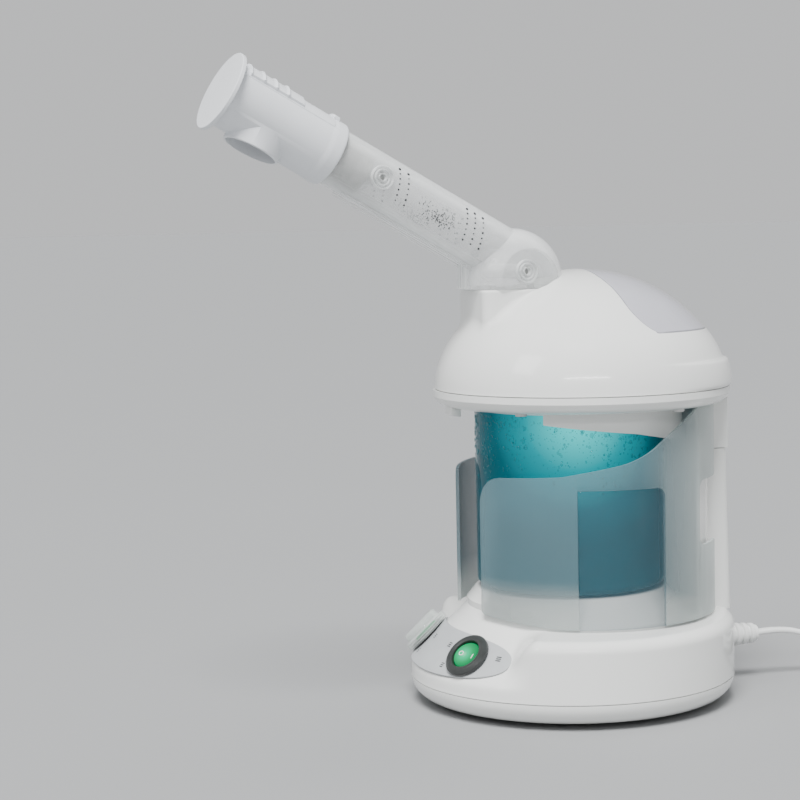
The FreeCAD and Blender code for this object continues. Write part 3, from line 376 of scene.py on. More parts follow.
def bake(obj, sharp=35.0):
    """Take the modifiers into the mesh."""
    bpy.context.view_layer.update()
    graph = bpy.context.evaluated_depsgraph_get()
    mesh = bpy.data.meshes.new_from_object(obj.evaluated_get(graph))
    obj.modifiers.clear()
    obj.data = mesh
    mesh.shade_smooth()
    mesh.set_sharp_from_angle(angle=math.radians(sharp))


def carve(obj, cutter, way="DIFFERENCE", sharp=35.0):
    """A boolean with a cutter that is used up."""
    tool = obj.modifiers.new("carve", "BOOLEAN")
    tool.operation = way
    tool.solver = "EXACT"
    tool.object = cutter
    bake(obj, sharp)
    bpy.data.objects.remove(cutter)


def soften(obj, width, segments=2, angle=50.0):
    """Small rounds on the sharp edges."""
    edge = obj.modifiers.new("soften", "BEVEL")
    edge.width = width * MM
    edge.segments = segments
    edge.limit_method = "ANGLE"
    edge.angle_limit = math.radians(angle)
    edge.miter_outer = "MITER_ARC"
    bake(obj, 40.0)


def piece(obj, slot, body="housing", nodes=(), look=None):
    """Give an object its material, the body it rides and the CAD nodes it replaces."""
    obj.data.materials.clear()
    obj.data.materials.append(MATERIALS[look or slot])
    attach(obj, body)
    if nodes:
        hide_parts(*nodes)
    return obj


def strips(outline, step):
    """A flat outline of (s, z) cut into upright strips that share every corner on the cut between them."""
    cuts = {round(p[0], 4) for p in outline}
    low, high = min(cuts), max(cuts)
    cuts.update(round(low + i * step, 4) for i in range(int((high - low) / step) + 1))
    cuts = sorted(cuts)
    edges = list(zip(outline, outline[1:] + outline[:1]))
    pieces, marks = [], {s: set() for s in cuts}
    for s0, s1 in zip(cuts, cuts[1:]):
        middle = (s0 + s1) / 2
        over = []
        for (sa, za), (sb, zb) in edges:
            if (sa - middle) * (sb - middle) < 0:
                over.append(tuple(round(za + (zb - za) * (s - sa) / (sb - sa), 4)
                                  for s in (s0, middle, s1)))
        over.sort(key=lambda e: e[1])
        for below, above in zip(over[::2], over[1::2]):
            pieces.append((s0, s1, below, above))
            marks[s0].update((below[0], above[0]))
            marks[s1].update((below[2], above[2]))
    verts, faces = [], []
    for s0, s1, below, above in pieces:
        right = [z for z in sorted(marks[s1]) if below[2] <= z <= above[2]]
        left = [z for z in sorted(marks[s0], reverse=True) if below[0] <= z <= above[0]]
        ring = [(s1, z) for z in right] + [(s0, z) for z in left]
        faces.append(tuple(range(len(verts), len(verts) + len(ring))))
        verts += ring
    return verts, faces


def curved_sheet(name, outline, radius, centre_y, thick, step=1.6, edge=0.35, mirror=False):
    """A sheet bent round an upright cylinder; outline is in degrees from the front and height."""
    per = math.radians(radius)
    flat = rounded([(p[0] * per, *p[1:]) for p in outline], True, 8)
    verts, faces = strips(flat, step)
    side = -1 if mirror else 1
    bent = []
    for s, z in verts:
        a = s / radius
        bent.append((side * radius * math.sin(a), centre_y - radius * math.cos(a), z))
    obj = make(name, [(np.array(bent), faces)])
    axis = Vector((0, centre_y * MM, 0))
    outward = sum(f.normal.dot((f.center - axis) * Vector((1, 1, 0))) for f in obj.data.polygons)
    body = obj.modifiers.new("thick", "SOLIDIFY")
    body.thickness = thick * MM
    body.offset = -1 if outward > 0 else 1
    bake(obj)
    soften(obj, edge)
    return obj


# ---------------------------------------------------------------- base

def smooth_step(low, high, value):
    """0 below low and 1 above high, with a smooth rise between them."""
    t = np.clip((value - low) / (high - low), 0, 1)
    return t * t * (3 - 2 * t)


def switch_bore(side):
    """The cutter of a switch's hole."""
    profile = [(0, -12), (BORE_R, -12), (BORE_R, 12), (0, 12)]
    return make("bore", [shift(lathe(profile, 64), switch_seat(side))])


def base_shell():
    """The upper base: its wall flattens into the switch slope at the front."""
    wall = [(BASE_R, z) for z in np.linspace(13.95, 38.0, 22)]
    profile = [(0, 14.2), (84.6, 14.2), (85.3, 13.9), (85.8, 14.0), (BASE_R, 14.3)] + wall[1:]
    top = [(BASE_R, 38), (BASE_R, 45, 6), (62, 46.5, 3.5), (50.5, 60.6, 2.2), (46, 60.6)]
    profile += rounded(top, False, 12)[1:] + [(0, 60.6)]
    dense = []
    for a, b in zip(profile, profile[1:]):
        n = max(1, int(math.dist(a, b) / 2.2)) if 50 < b[0] < 85.9 else 1
        dense += [(a[0] + (b[0] - a[0]) * k / n, a[1] + (b[1] - a[1]) * k / n) for k in range(n)]
    dense.append(profile[-1])
    steps = 360
    angles = np.radians(np.arange(steps) * 360 / steps)
    away = np.abs((np.degrees(angles) + 180) % 360 - 180)
    weight = 1 - smooth_step(43.0, 57.0, away)
    rows = []
    for r, z in dense:
        over = r + z - CONE_SUM
        drop = 0.25 * (over + math.sqrt(over * over + 5.0)) * weight if z > 14.5 and r > 56 else 0 * weight
        rr, zz = r - drop, z - drop
        rows.append(np.stack([rr * np.sin(angles), -rr * np.cos(angles), zz], 1))
    shell = make("base_shell", [skin(rows, True)], 30)
    for side in (-1, 1):
        carve(shell, switch_bore(side), sharp=30)
    piece(shell, "white_shell", nodes=["base_housing"])


def rear_column():
    """The two stretches of the rear column and the curved shield in front of it."""
    chamfer = ((0.5, 0), (0.15, -0.15), (0, -0.5))
    for name, low, high, back_low, back_high in (
            ("column_lower", 44.0, 130.8, 85.3, 83.0), ("column_upper", 131.2, 158.5, 83.0, 82.2)):
        if name == "column_lower":
            levels = [(low, 0)] + [(high - in_z, grow) for in_z, grow in chamfer]
        else:
            levels = [(low + in_z, grow) for in_z, grow in reversed(chamfer)] + [(high, 0)]
        rows = []
        for z, grow in levels:
            back = back_low + (back_high - back_low) * (z - low) / (high - low)
            line = rounded([(-20.8 - grow, 65 - grow, 3), (20.8 + grow, 65 - grow, 3),
                            (20.8 + grow, back + grow, 5), (-20.8 - grow, back + grow, 5)], True, 8)
            rows.append([(x, y, z) for x, y in line])
        piece(make(name, [skin(rows, True, caps=True)]), "white_shell")
    outline = [(134, 47), (226, 47), (226, 156.6), (134, 156.6)]
    piece(curved_sheet("inner_shield", outline, 65.0, GUARD_Y, 2.2), "white_shell")


def panel():
    """The silver lens between the switches, with small plain marks."""
    line = []
    for i in range(96):
        a = 2 * math.pi * i / 96
        c, s = math.cos(a), math.sin(a)
        reach = 13.6 if s > 0 else 13.9
        line.append((44.6 * math.copysign(abs(c) ** 0.72, c), reach * math.copysign(abs(s) ** 0.86, s)))

    def on_slope(degrees, slope, lift):
        r = CONE_SUM - SWITCH_Z - (slope - lift) * math.sqrt(0.5)
        z = SWITCH_Z + (slope + lift) * math.sqrt(0.5)
        a = math.radians(degrees)
        return r * math.sin(a), -r * math.cos(a), z

    rows = []
    for ring, lift in ((1.0, 0.2), (1.0, 0.75), (0.992, 0.95), (0.97, 1.0), (0.8, 1.0), (0.6, 1.0), (0.4, 1.0),
                       (0.2, 1.0), (0.0, 1.0)):
        rows.append([on_slope(x * ring, y * ring, lift) for x, y in line])
    plate = make("panel_lens", [skin(rows, True)])
    for side in (-1, 1):
        carve(plate, switch_bore(side))
    piece(plate, "panel_silver", nodes=["control_panel_plate"])
    marks = []
    for degrees, slope, long in ((9.5, 4.0, 2.4), (39.0, 1.5, 2.4), (14.0, -8.0, 2.0), (-9.5, 4.0, 2.4),
                                 (-39.0, 1.5, 2.4), (-14.0, -8.0, 2.0)):
        for k in (-1, 0, 1):
            corners = [(degrees + u * long / 2.2, slope + k * 1.1 + v * 0.24)
                       for u, v in ((-1, -1), (1, -1), (1, 1), (-1, 1))]
            sides = [[on_slope(*corner, lift) for corner in corners] for lift in (1.04, 1.0)]
            marks.append(skin(sides, True, caps=True))
    piece(make("panel_marks", marks), "panel_silver", look="mark_grey")


def switches():
    """Two round rocker switches with a bezel and signs, and the splash cap over the far one."""
    for side, name in ((1, "power"), (-1, "ozone")):
        seat = switch_seat(side)
        sunk = 1.3 if name == "ozone" else 0.0
        bezel = rounded([(0, -14), (10, -14), (10, 1.5), (12.4, 1.5), (12.5, 3.0 - sunk / 2, 1.4 - sunk / 2),
                         (10.2, 5.0 - sunk, 1.9), (8.1, 4.1 - sunk, 0.5), (8.1, -11.5), (0, -11.5)], False, 8)
        piece(make(name + "_bezel", [shift(lathe(bezel, 96, False), seat)]), "switch_charcoal",
              nodes=[name + "_switch_body"])
        dome = [(0, -4.6), (6.4, -4.6)]
        for k in range(13):
            a = math.radians(-35.6 + (19.2 + 35.6) * k / 12)
            dome.append((7.9 * math.cos(a), 7.9 * math.sin(a)))
        dome += [(7.0, 3.05), (6.0, 3.35), (4.0, 3.15), (2.0, 3.0), (0, 2.95)]
        rock = seat @ turn(side * 8.0, "Y") @ at(0, 0, sunk)
        parts = [shift(lathe(dome, 96, False), rock)]
        parts.append(shift(lathe([(0, -9.2), (1, -9.2), (1, 9.2), (0, 9.2)], 24, False), rock @ turn(90, "X")))
        piece(make(name + "_rocker", parts), "rocker_green", name + "_rocker", [name + "_switch_rocker"])
        ring = lathe(rounded([(0.95, 0), (1.45, 0), (1.45, 0.22, 0.1), (0.95, 0.22, 0.1)], True), 32)
        stroke = lathe(rounded([(0, 0), (0.28, 0), (0.28, 0.22, 0.1), (0, 0.22)], False), 16, False)
        stroke[0][:, 1] *= 5.5
        signs = [shift(ring, rock @ at(-3.6, 0, 3.05)), shift(stroke, rock @ at(3.6, 0, 3.05))]
        piece(make(name + "_rocker_marks", signs), "rocker_green", name + "_rocker", look="terminal_white")
    cap = rounded([(12.6, 1.5), (13.5, 1.5, 0.3), (13.5, 5.4, 0.5), (11.3, 5.7, 0.5), (10.9, 9.8, 1.2),
                   (0, 10.0)], False, 8)
    inner = rounded([(0, 9.2), (9.9, 9.0, 0.9), (10.4, 5.4, 0.3), (12.6, 5.2)], False, 8)
    ribs = [lathe(rounded([(13.4, z), (13.75, z + 0.3), (13.4, z + 0.6)], True), 96) for z in (2.4, 3.6)]
    parts = [shift(part, switch_seat(-1)) for part in [lathe(cap + inner, 96)] + ribs]
    piece(make("ozone_cap", parts), "clear_cap", nodes=["ozone_switch_cap"])


# ---------------------------------------------------------------- guard and skirt

def guards():
    """Two frosted wings, each with a polished window."""
    wing = [(16.2, 51.5, 3), (16.2, 122.6, 15), (57.7, 125.0, 40), (92, 132.2, 60), (108, 145, 60),
            (126, 156.6, 4), (151.5, 156.6, 2), (151.5, 119, 2), (127.5, 119, 5), (127.5, 85, 5), (151.5, 85, 2),
            (151.5, 47.4), (104.4, 47.4), (104.4, 118.2, 5), (65, 118.2), (65, 47.6), (55, 48.0), (35, 50.0)]
    window = [(65.08, 47.6), (104.32, 47.4), (104.32, 118.1, 5), (65.08, 118.1)]
    for side, mirror in (("right", False), ("left", True)):
        sheet = curved_sheet(f"guard_{side}", wing, 68.5, GUARD_Y, 1.7, mirror=mirror, edge=0.3)
        piece(sheet, "frosted_guard", nodes=[f"guard_{side}_panel"])
        pane = curved_sheet(f"guard_{side}_window", window, 68.4, GUARD_Y, 1.5, mirror=mirror, edge=0.15)
        piece(pane, "frosted_guard", look="clear_window")


def skirt():
    """The white skirt round the jar's neck, whose lower edge falls to the rear, and a small catch."""
    line = [(49, 155.2), (-49, 155.2), (-49, 150.2, 0.6), (-98, 144.8, 30), (-122, 140.4, 1), (-136, 139.4, 1),
            (-136, 156.8), (136, 156.8), (136, 139.4, 1), (122, 140.4, 1), (98, 144.8, 30), (49, 150.2, 0.6)]
    piece(curved_sheet("skirt", line, 57.0, HEAD_Y - 0.5, 1.9, edge=0.25), "white_shell", nodes=["jar_skirt"])
    section = rounded([(68.6, 152.8), (74.0, 153.4, 1), (74.0, 158.4), (68.6, 158.0)], True)
    catch = make("front_catch", [shift(lathe(section, 6, True, -3.6, 7.2), at(0, HEAD_Y, 0))])
    soften(catch, 0.4)
    piece(catch, "white_shell")


# ---------------------------------------------------------------- head

SIDE_R, SIDE_OUT, SIDE_Z = 45.3, 31.9, 165.98   # the arc of the dome's side and its centre
TOP_R, TOP_Z = 84.0, 143.7                      # the arc of the dome's top and its centre


def dome_z(r):
    """Height of the dome's outside at a distance from the head's axis."""
    r = np.asarray(r, dtype=float)
    low = SIDE_Z + np.sqrt(np.clip(SIDE_R ** 2 - (r - SIDE_OUT) ** 2, 0, None))
    top = TOP_Z + np.sqrt(np.clip(TOP_R ** 2 - r ** 2, 0, None))
    mixed = smooth_step(SHOULDER_R - 6, SHOULDER_R + 3, r)
    return np.minimum(top * (1 - mixed) + low * mixed, top + 1.6)


def dome_r(z):
    """Distance from the head's axis at a height below the shoulder."""
    return SIDE_OUT + math.sqrt(max(SIDE_R ** 2 - (z - SIDE_Z) ** 2, 0))


def turret_reach(way):
    """Distance from the swivel to the edge of the turret's flat top, in a direction in plan."""
    half, front, bend = 21.5, 22.5, 5.0
    low, high = 0.0, 40.0
    for _ in range(40):
        middle = (low + high) / 2
        x, y = abs(way[0] * middle), way[1] * middle
        qx, qy = x - (half - bend), -y - (front - bend)
        inside = math.hypot(max(qx, 0), max(qy, 0)) + min(max(qx, qy), 0) - bend < 0
        low, high = (middle, high) if inside else (low, middle)
    return min(low, 24.0) if way[1] > 0 else low


def head_shell():
    """The dome with its turret, in rings about the arm's swivel, and the seat of the lid."""
    steps = 320
    ways = [(math.sin(2 * math.pi * i / steps), -math.cos(2 * math.pi * i / steps)) for i in range(steps)]
    reach = [turret_reach(way) for way in ways]

    def spot(i, rho):
        return ways[i][0] * rho, SWIVEL_Y + ways[i][1] * rho

    def top_at(i, rho):
        x, y = spot(i, rho)
        return float(dome_z(math.hypot(x, y - HEAD_Y)))

    def meet(i, radius):
        """Where the ray leaves a circle about the head's axis."""
        off = SWIVEL_Y - HEAD_Y
        along = ways[i][1] * off
        return -along + math.sqrt(along * along - off * off + radius * radius)

    rows = [[(0, SWIVEL_Y, 205.5)] * steps]
    for rho, z in ((14.1, 205.5), (14.1, 218.2), (14.4, TURRET_Z)):
        rows.append([(*spot(i, rho), z) for i in range(steps)])
    # a small round at the turret's edge, then a fillet down to the dome
    for kind, t in [("top", k / 8) for k in range(9)] + [("foot", k / 10) for k in range(1, 11)]:
        feet = []
        row = []
        for i in range(steps):
            edge = reach[i]
            gap = TURRET_Z - top_at(i, edge)
            sign = 1 if gap > 0 else -1
            b = max(min(1.6, abs(gap) * 0.45), 0.25)
            f = max(min(3.4, abs(gap) * 0.45), 0.25)
            if kind == "top":
                d = -b * (1 - t) ** 2
                z = TURRET_Z - sign * b * t * t
                if abs(gap) < 0.5:
                    z = TURRET_Z - gap * t * t * 0.45
            else:
                start = top_at(i, edge) + sign * f if abs(gap) >= 0.5 else TURRET_Z - gap * 0.45
                d = f * t * t
                z = (1 - t) ** 2 * start + 2 * t * (1 - t) * top_at(i, edge) + t * t * top_at(i, edge + f)
                feet.append(f)
            row.append((*spot(i, edge + d), z))
        rows.append(row)
    shoulder = 190.0
    for k in range(1, 61):
        row = []
        for i in range(steps):
            start = reach[i] + feet[i]
            rho = start + (meet(i, dome_r(shoulder)) - start) * math.sin(math.pi / 2 * k / 60)
            row.append((*spot(i, rho), top_at(i, rho) if k < 60 else shoulder))
        rows.append(row)
    belt = [(188, 0), (186, 0), (184, 0), (182.4, 0), (181.2, 0.02), (180.7, 0.1), (180.4, 0.35), (180.1, 0.75),
            (179.7, 0.95), (179, 1), (177.5, 1), (175.5, 1), (173.5, 1), (171.5, 1), (169.5, 1), (168, 1),
            (167.2, 0.95), (166.6, 0.8), (166.3, 0.6)]
    for z, raised in belt:
        row = []
        for i in range(steps):
            x, y = spot(i, meet(i, dome_r(z)))
            back = math.degrees(math.atan2(abs(x), -(y - HEAD_Y)))
            out = dome_r(z) + 2.3 * raised * float(smooth_step(98, 138, back))
            a = math.atan2(x, y - HEAD_Y)
            row.append((out * math.sin(a), HEAD_Y + out * math.cos(a), z))
        rows.append(row)
    last = np.array(rows[-1])
    for grow, z in ((-0.15, SEAM_Z + 0.12), (-0.5, SEAM_Z + 0.02), (-2.0, SEAM_Z)):
        flat = last.copy()
        length = np.hypot(flat[:, 0], flat[:, 1] - HEAD_Y)
        flat[:, 0] *= (length + grow) / length
        flat[:, 1] = HEAD_Y + (flat[:, 1] - HEAD_Y) * (length + grow) / length
        flat[:, 2] = z
        rows.append(flat)
    rows.append([(0, HEAD_Y, SEAM_Z)] * steps)
    dome = make("dome_shell", [skin(rows, True)], 32)
    carve(dome, lid_block("lid_seat", 0.45, -9.0, 6.0), sharp=32)
    carve(dome, lid_swing(0.5), sharp=32)
    slit = make("slit", [shift(lathe([(60, 195.3), (70, 195.3), (70, 197.4), (60, 197.4)], 24, True, 153, 54),
                               at(0, HEAD_Y, 0))])
    carve(dome, slit, sharp=32)
    piece(dome, "white_shell", nodes=["head_dome"])


LID_FRONT = ((0, 7.4), (12, 7.5), (23.5, 8.0), (33, 9.2), (39, 10.2), (45, 11.0), (50, 11.7), (53.5, 12.5),
             (56.8, 13.9), (59.6, 16.1), (61.6, 18.8), (62.8, 21.4), (63.3, 23.4))
FRONT_X, FRONT_Y = [p[0] for p in LID_FRONT], [p[1] for p in LID_FRONT]


def lid_swing(gap):
    """The room under the dome's skin that the lid's front edge sweeps as it opens."""
    turns = np.arange(48) * math.pi / 24
    rows = []
    for x in np.linspace(-33, 33, 45):
        front = float(np.interp(abs(x), FRONT_X, FRONT_Y)) - gap
        r = math.hypot(HINGE[0] - front, float(dome_z(math.hypot(x, front - HEAD_Y))) - HINGE[1])
        rows.append([(x, HINGE[0] + r * math.cos(a), HINGE[1] + r * math.sin(a)) for a in turns])
    return make("lid_swing", [skin(rows, True, caps=True)])


def lid_rows(gap, across=72, deep=44):
    """Plan points over the lid's area, from its front edge to its rear edge."""
    rows = []
    half = FRONT_X[-1] + gap
    for k in range(deep + 1):
        u = k / deep
        row = []
        for i in range(across + 1):
            s = math.sin(math.pi / 2 * (2 * i / across - 1))
            x0 = half * s
            y0 = float(np.interp(abs(x0), FRONT_X, FRONT_Y)) - gap
            far = 65.6 + gap
            limit = math.asin(min(half / far, 1))
            a = limit * (2 * i / across - 1)
            x1, y1 = far * math.sin(a), HEAD_Y + far * math.cos(a)
            row.append((x0 + (x1 - x0) * u, y0 + (y1 - y0) * u))
        rows.append(row)
    return rows


def lid_block(name, gap, under, over):
    """A closed block over the lid's area, between two offsets of the dome's surface."""
    plan = lid_rows(gap)
    top, low = ([[(x, y, float(dome_z(math.hypot(x, y - HEAD_Y))) + lift) for x, y in row] for row in plan]
                for lift in (over, under))
    return make(name, [slab(top, low)], 32)


def rear_lid():
    """The translucent lid, flush with the dome."""
    lid = lid_block("lid_shell", -0.1, -1.9, 0.12)
    soften(lid, 0.3, 2, 60)
    piece(lid, "smoke_lid", "lid", ["rear_lid"])


# ---------------------------------------------------------------- arm and nozzle

def arm_frame(distance):
    """Local +Z runs outwards along the arm and +Y is its upper side."""
    tilt = math.radians(ARM_TILT)
    base = at(0, SWIVEL_Y, 0) @ turn(SWIVEL_REST, "Z")
    spot = at(0, -math.cos(tilt) * distance, ARM_Z + math.sin(tilt) * distance)
    return base @ spot @ turn(90 - ARM_TILT, "X")


def saddle(low, high, half, lift, ribs=(), rib_high=0.8):
    """A raised patch over the nozzle's upper side, between two distances along the arm."""
    inside, under, outside, across = 15.9, 15.6, 16.5, 32
    rows, floor = [], []
    for d in np.linspace(low, high, max(int((high - low) / 0.35), 12)):
        row = []
        rib = max([math.exp(-((d - spot) / 0.7) ** 2) for spot in ribs] + [0.0])
        for k in range(across + 1):
            x = half * (2 * k / across - 1)
            edge = min(1.0, (d - low) / 0.7, (high - d) / 0.7, (half - abs(x)) / 0.7)
            r = inside + (lift + rib_high * rib - inside) * math.sqrt(max(edge, 0))
            a = math.asin(x / outside)
            row.append((r * math.sin(a), r * math.cos(a), d))
        rows.append(np.array(row))
        away = np.hypot(rows[-1][:, 0], rows[-1][:, 1])[:, None]
        floor.append(np.hstack([rows[-1][:, :2] * under / away, rows[-1][:, 2:]]))
    return shift(slab(rows, floor), arm_frame(0))


def nozzle():
    """White nozzle: collar, body, thin end disc, outlet, and the ribbed grip on its upper side."""
    body = rounded([(15.25, 115.6), (16.8, 115.6, 0.9), (16.9, 117.2, 0.8), (16.9, 121.6, 2.0),
                    (16.5, 124.6, 1.5), (16.5, 178.9, 0.5), (20.8, 179.0, 0.25), (20.8, 181.2, 0.5), (0, 180.9),
                    (0, 177), (15, 177), (15, 129.1), (15.25, 129.1)], False, 8)
    shell = make("nozzle_body", [shift(lathe(body, 128, True), arm_frame(0))])
    at_outlet = arm_frame(OUTLET) @ turn(90, "X")
    spout = rounded([(0, 5), (14.9, 5), (14.7, 18.3, 0.4), (14.0, 18.5, 0.3), (0, 18.5)], False)
    carve(shell, make("spout", [shift(lathe(spout, 96, False), at_outlet)]), "UNION")
    drill = rounded([(0, 0), (13.2, 0), (13.4, 18.0), (13.6, 21.5), (0, 21.5)], False)
    carve(shell, make("drill", [shift(lathe(drill, 96, False), at_outlet)]))
    piece(shell, "nozzle_white", "nozzle", ["nozzle_head"])
    ring = rounded([(12.5, 8.4), (13.35, 8.4), (13.35, 9.6), (12.5, 9.6)], True, 3)
    grille = [shift(lathe(ring, 64), at_outlet)]
    for x in (-8.8, -4.4, 0, 4.4, 8.8):
        reach = math.sqrt(12.9 ** 2 - x ** 2)
        grille.append(shift(bar(x, -9.0, OUTLET - reach, OUTLET + reach, 0.55), arm_frame(0)))
    piece(make("outlet_bars", grille), "grille_grey", "nozzle", ["outlet_grille"])
    band = saddle(123.5, 178.6, 13.6, 16.9)
    tile = saddle(142.5, 174.8, 12.9, 17.9, (174.2, 166.6, 159.4, 152.4))
    bump = saddle(120.8, 125.0, 7.0, 18.5)
    piece(make("nozzle_grip", [band, tile, bump], 40), "nozzle_white", "nozzle")


def arm_details():
    """Rings round the two screw bosses, the lines of the rails and groups of small moulded dots."""
    swivel = at(0, SWIVEL_Y, 0) @ turn(SWIVEL_REST, "Z")
    rings = []
    for side in (-1, 1):
        near = swivel @ at(side * NEAR_BOSS[2], *NEAR_BOSS[:2]) @ turn(side * 90, "Y")
        far = arm_frame(FAR_BOSS[0]) @ at(side * FAR_BOSS[1], 0, 0) @ turn(side * 90, "Y")
        for face in (near, far):
            for r in (6.1, 4.3, 2.3):
                ring = rounded([(r - 0.7, -1.4), (r, -1.4), (r, 0.7, 0.3), (r - 0.7, 0.7, 0.3)], True)
                rings.append(shift(lathe(ring, 48), face))
    piece(make("arm_boss_rings", rings), "clear_arm", "arm")
    lines = []
    for x in (-4.7, 4.7):
        for y in (-12.4, -13.6, -14.8, -16.0):
            lines.append(shift(bar(x, y, 20, 104), arm_frame(0)))
    for x in (-4.4, -1.5, 1.5, 4.4):
        lines.append(shift(bar(x, -29.0, 219.2, 232.0), swivel))
    piece(make("arm_rail_lines", lines), "clear_arm", "arm")
    rng = random.Random(3)
    dots = []
    for row in (83.0, 77.6, 40.4, 35.4, 30.2):
        for j in range(7):
            dots.append((row - 0.7 * j, 52 + 10.5 * j, 0.75 if j == 0 else 0.34 + rng.random() * 0.25))
    for _ in range(130):
        dots.append((rng.gauss(54, 6), rng.gauss(101, 9), 0.14 + rng.random() * 0.18))
    made = []
    for distance, angle, r in dots:
        bead = lathe([(0, -0.2), (r, -0.2), (r, 0.1), (r * 0.6, 0.25), (0, 0.3)], 10, False)
        for side in (-1, 1):
            seat = arm_frame(distance) @ turn(side * angle, "Z") @ at(0, TUBE_R, 0) @ turn(-90, "X")
            made.append(shift(bead, seat))
    piece(make("arm_dots", made), "clear_arm", "arm", look="mark_grey")


# ---------------------------------------------------------------- jar, cord and the rest

BEAD = ((1, 0), (0.92, 0.25), (0.66, 0.45), (0.33, 0.54), (0, 0.58))


def droplets():
    """Beads of condensation on the upper half of the jar."""
    rng = random.Random(11)
    beads = []
    for _ in range(3600):
        angle = rng.uniform(0, 360)
        z = 154 - abs(rng.gauss(0, 1)) * 19
        cluster = 0.5 + 0.5 * math.sin(math.radians(angle * 9)) * math.sin(math.radians(angle * 5 + 40))
        if z < 88 or rng.random() > 0.2 + cluster:
            continue
        r = min(0.15 + rng.expovariate(5.0), 1.1)
        tall = r * rng.uniform(1.0, 1.5)
        bead = lathe([(r * out, r * up) for out, up in BEAD], 10, False)
        bead[0][:, 1] *= tall / r
        face = turn(angle, "Z") @ at(0, -JAR_R, z) @ turn(90, "X")
        beads.append(shift(bead, face))
    piece(make("jar_droplets", beads, 60), "teal_glass", "jar", look="droplet")


def plug():
    """A flat two-pin plug with a ribbed boot."""
    place = at(5, 233, 8) @ turn(-90, "X")
    boot = [(0, 0), (2.9, 0)]
    for k in range(6):
        z = 1.2 + 2.5 * k
        r = 3.3 + 0.28 * k
        boot += [(r, z), (r + 0.1, z + 1.4), (r - 0.5, z + 1.6), (r - 0.5, z + 2.3)]
    boot += [(6.2, 18), (0, 18)]
    rows = []
    for d, w, h in ((17, 6.5, 5.2), (18, 8.4, 6.3), (21, 10.8, 7.2), (26, 11.9, 7.4), (36, 11.9, 7.4),
                    (39, 11.3, 6.9), (40, 10.4, 6.0)):
        line = rounded([(-w, -h, h * 0.6), (w, -h, h * 0.6), (w, h, h * 0.6), (-w, h, h * 0.6)], True, 6)
        rows.append([(x, y, d) for x, y in line])
    body = make("plug_body", [shift(lathe(boot, 48, False), place), shift(skin(rows, True, caps=True), place)])
    piece(body, "cord_white", nodes=["mains_plug"])
    pins = []
    for x in (-6.35, 6.35):
        rows = []
        for d, w, h in ((39, 0.75, 3.0), (55.5, 0.75, 3.0), (57, 0.45, 2.2)):
            line = rounded([(x - w, -h, 0.3), (x + w, -h, 0.3), (x + w, h, 0.3), (x - w, h, 0.3)], True, 3)
            rows.append([(u, v, d) for u, v in line])
        pins.append(shift(skin(rows, True, caps=True), place))
    return body, piece(make("plug_pins", pins), "steel")


def relief():
    """The ribbed collar where the lead leaves the base."""
    line = [(0, 0), (7.4, 0), (7.4, 6.2)]
    for k in range(5):
        low, r = 6.8 + 4.3 * k, 6.9 - 0.34 * k
        line += [(r - 1.5, low, 0.3), (r, low + 0.4, 0.4), (r - 0.1, low + 2.7, 0.4), (r - 1.6, low + 3.1, 0.3)]
    line += [(4.4, 28.6, 0.5), (4.0, 29.0), (0, 29.0)]
    collar = shift(lathe(rounded(line, False, 3), 64, False), at(0, 80, 25) @ turn(-90, "X"))
    return piece(make("ribbed_relief", [collar]), "cord_white", nodes=["strain_relief"])


def lead_route():
    """Points from the relief down to the floor, seven turns of the coil in three layers, and the plug."""
    route = [(0, 109, 25), (0, 125, 26.5), (2, 145, 20), (5, 172, 6), (5, 200, 2.8)]
    x, y, outer, inner = -30.6, 200.0, 35.6, 24.6
    turns, per_turn = 7, 16
    count = turns * per_turn
    for k in range(1, count):
        t = turns * k / count
        if t < 3:
            radius, level = outer - 11.0 * t / 3, 2.0
        elif t < 6:
            radius, level = inner + 11.0 * (t - 3) / 3, 5.4
        else:
            radius, level = outer, 8.8
        level += min(0.8, 0.8 * t) if t < 1 else 0
        a = 2 * math.pi * t
        route.append((x + radius * math.cos(a), y + radius * math.sin(a), level))
    return route + [(5, 200, 8.6), (5, 215, 8.2), (5, 227, 8), (5, 235, 8)]


def lead_section():
    """The lead's outline: two cores side by side with a waist between them."""
    profile = bpy.data.curves.new("lead_section", "CURVE")
    profile.dimensions = "2D"
    ring = profile.splines.new("POLY")
    steps, half_wide, half_high = 28, 2.7, 1.6
    ring.points.add(steps - 1)
    for k, point in enumerate(ring.points):
        a = 2 * math.pi * k / steps
        x = half_wide * math.copysign(abs(math.cos(a)) ** 0.7, math.cos(a))
        waist = 1 - 0.22 * math.exp(-(x / 0.8) ** 2)
        y = half_high * math.copysign(abs(math.sin(a)) ** 0.8, math.sin(a)) * waist
        point.co = (x * MM, y * MM, 0, 1)
    ring.use_cyclic_u = True
    section = bpy.data.objects.new("lead_section", profile)
    scene.collection.objects.link(section)
    section.hide_render = True
    section.hide_viewport = True
    return section


def lead(with_pieces):
    """The flat twin lead: out of the relief, down, and wound into a neat coil."""
    route = lead_route()
    line = bpy.data.curves.new("lead", "CURVE")
    line.dimensions = "3D"
    line.twist_mode = "Z_UP"
    spline = line.splines.new("NURBS")
    spline.points.add(len(route) - 1)
    for point, spot in zip(spline.points, route):
        point.co = (*[c * MM for c in spot], 1)
    spline.order_u = 3
    spline.use_endpoint_u = True
    spline.resolution_u = 6
    line.bevel_mode = "OBJECT"
    line.bevel_object = lead_section()
    line.use_fill_caps = True
    cord = bpy.data.objects.new("lead", line)
    scene.collection.objects.link(cord)
    piece(cord, "cord_white", nodes=["cord_tube", "cord_coil", "cord_end"])


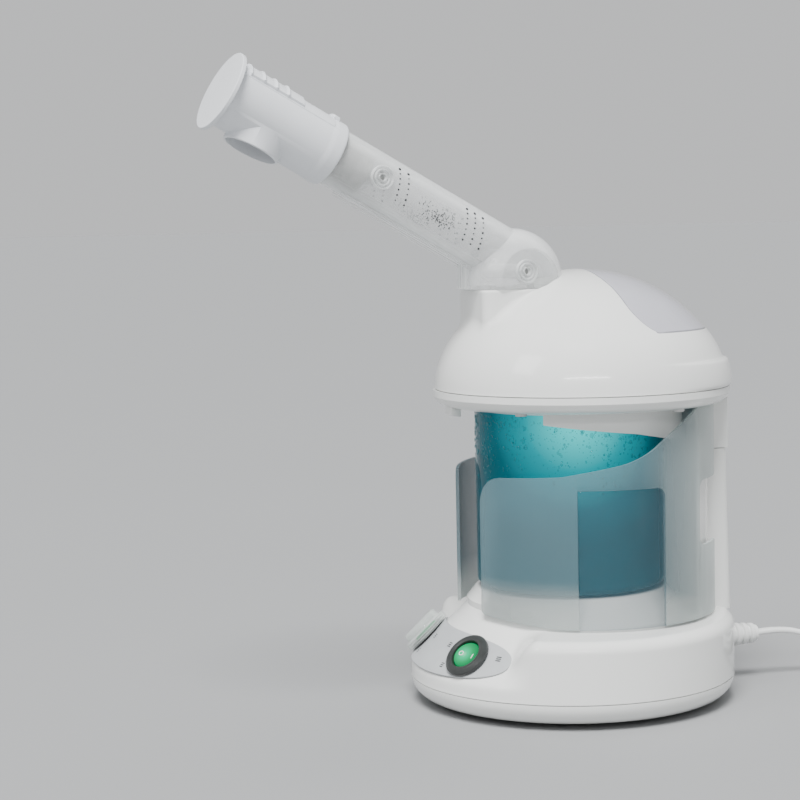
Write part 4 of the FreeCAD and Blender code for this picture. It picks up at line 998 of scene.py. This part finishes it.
def carried_over():
    """CAD nodes that keep their shape get their material here."""
    slots = {entry["node"]: entry["material_slot"] for entry in frame["record"]["subparts"]}
    for name, obj in frame["nodes"].items():
        obj.data.materials.clear()
        obj.data.materials.append(MATERIALS[slots[name]])


# ---------------------------------------------------------------- floor and light

def studio_sky(horizon, top):
    """An even pale surround, a little darker overhead."""
    world = bpy.data.worlds.new("studio")
    world.use_nodes = True
    tree = world.node_tree
    place = tree.nodes.new("ShaderNodeTexCoord")
    split = tree.nodes.new("ShaderNodeSeparateXYZ")
    tree.links.new(place.outputs["Generated"], split.inputs["Vector"])
    ramp = tree.nodes.new("ShaderNodeValToRGB")
    ramp.color_ramp.elements[0].position, ramp.color_ramp.elements[0].color = 0.12, (*horizon, 1)
    ramp.color_ramp.elements[1].position, ramp.color_ramp.elements[1].color = 0.75, (*top, 1)
    tree.links.new(split.outputs["Z"], ramp.inputs["Fac"])
    tree.links.new(ramp.outputs["Color"], tree.nodes["Background"].inputs["Color"])
    scene.world = world


def stage():
    """A plain pale floor, two soft suns and two small lamps for the gloss."""
    verts, faces = lathe([(0, 0), (2.0e3, 0), (2.0e5, 0)], 96, False)
    floor = make("floor", [(verts - np.array([0, 0, 0.05]), faces)])
    floor.data.materials.append(surface("floor_pale", (0.318, 0.323, 0.328), 0.8, 0.005, 3.0, 0.0, 10.0))
    studio_sky((0.69, 0.697, 0.705), (0.24, 0.25, 0.26))
    for name, spot, power, angle in (("key", (0.62, -0.32, 1.4), 6.3, 26), ("back", (-0.5, 0.9, 1.0), 0.7, 40)):
        data = bpy.data.lights.new(name, "SUN")
        data.energy = power
        data.angle = math.radians(angle)
        place_light(name, data, spot).visible_glossy = False
    for name, spot, size, power in (("strip", (1.2, -0.35, 0.62), (0.8, 0.04), 2.4),
                                    ("window", (0.5, -1.3, 1.1), (0.5, 0.7), 5.0)):
        data = bpy.data.lights.new(name, "AREA")
        data.shape = "RECTANGLE"
        data.size, data.size_y = size
        data.energy = power
        place_light(name, data, spot)


def place_light(name, data, spot):
    """A light at a spot, aimed at the object's middle."""
    light = bpy.data.objects.new(name, data)
    light.location = spot
    light.rotation_euler = (Vector((0, 0, 0.15)) - Vector(spot)).to_track_quat("-Z", "Y").to_euler()
    scene.collection.objects.link(light)
    return light


add_camera()
lead([*plug(), relief()])
carried_over()
base_shell()
rear_column()
panel()
switches()
guards()
skirt()
head_shell()
rear_lid()
nozzle()
arm_details()
droplets()
stage()
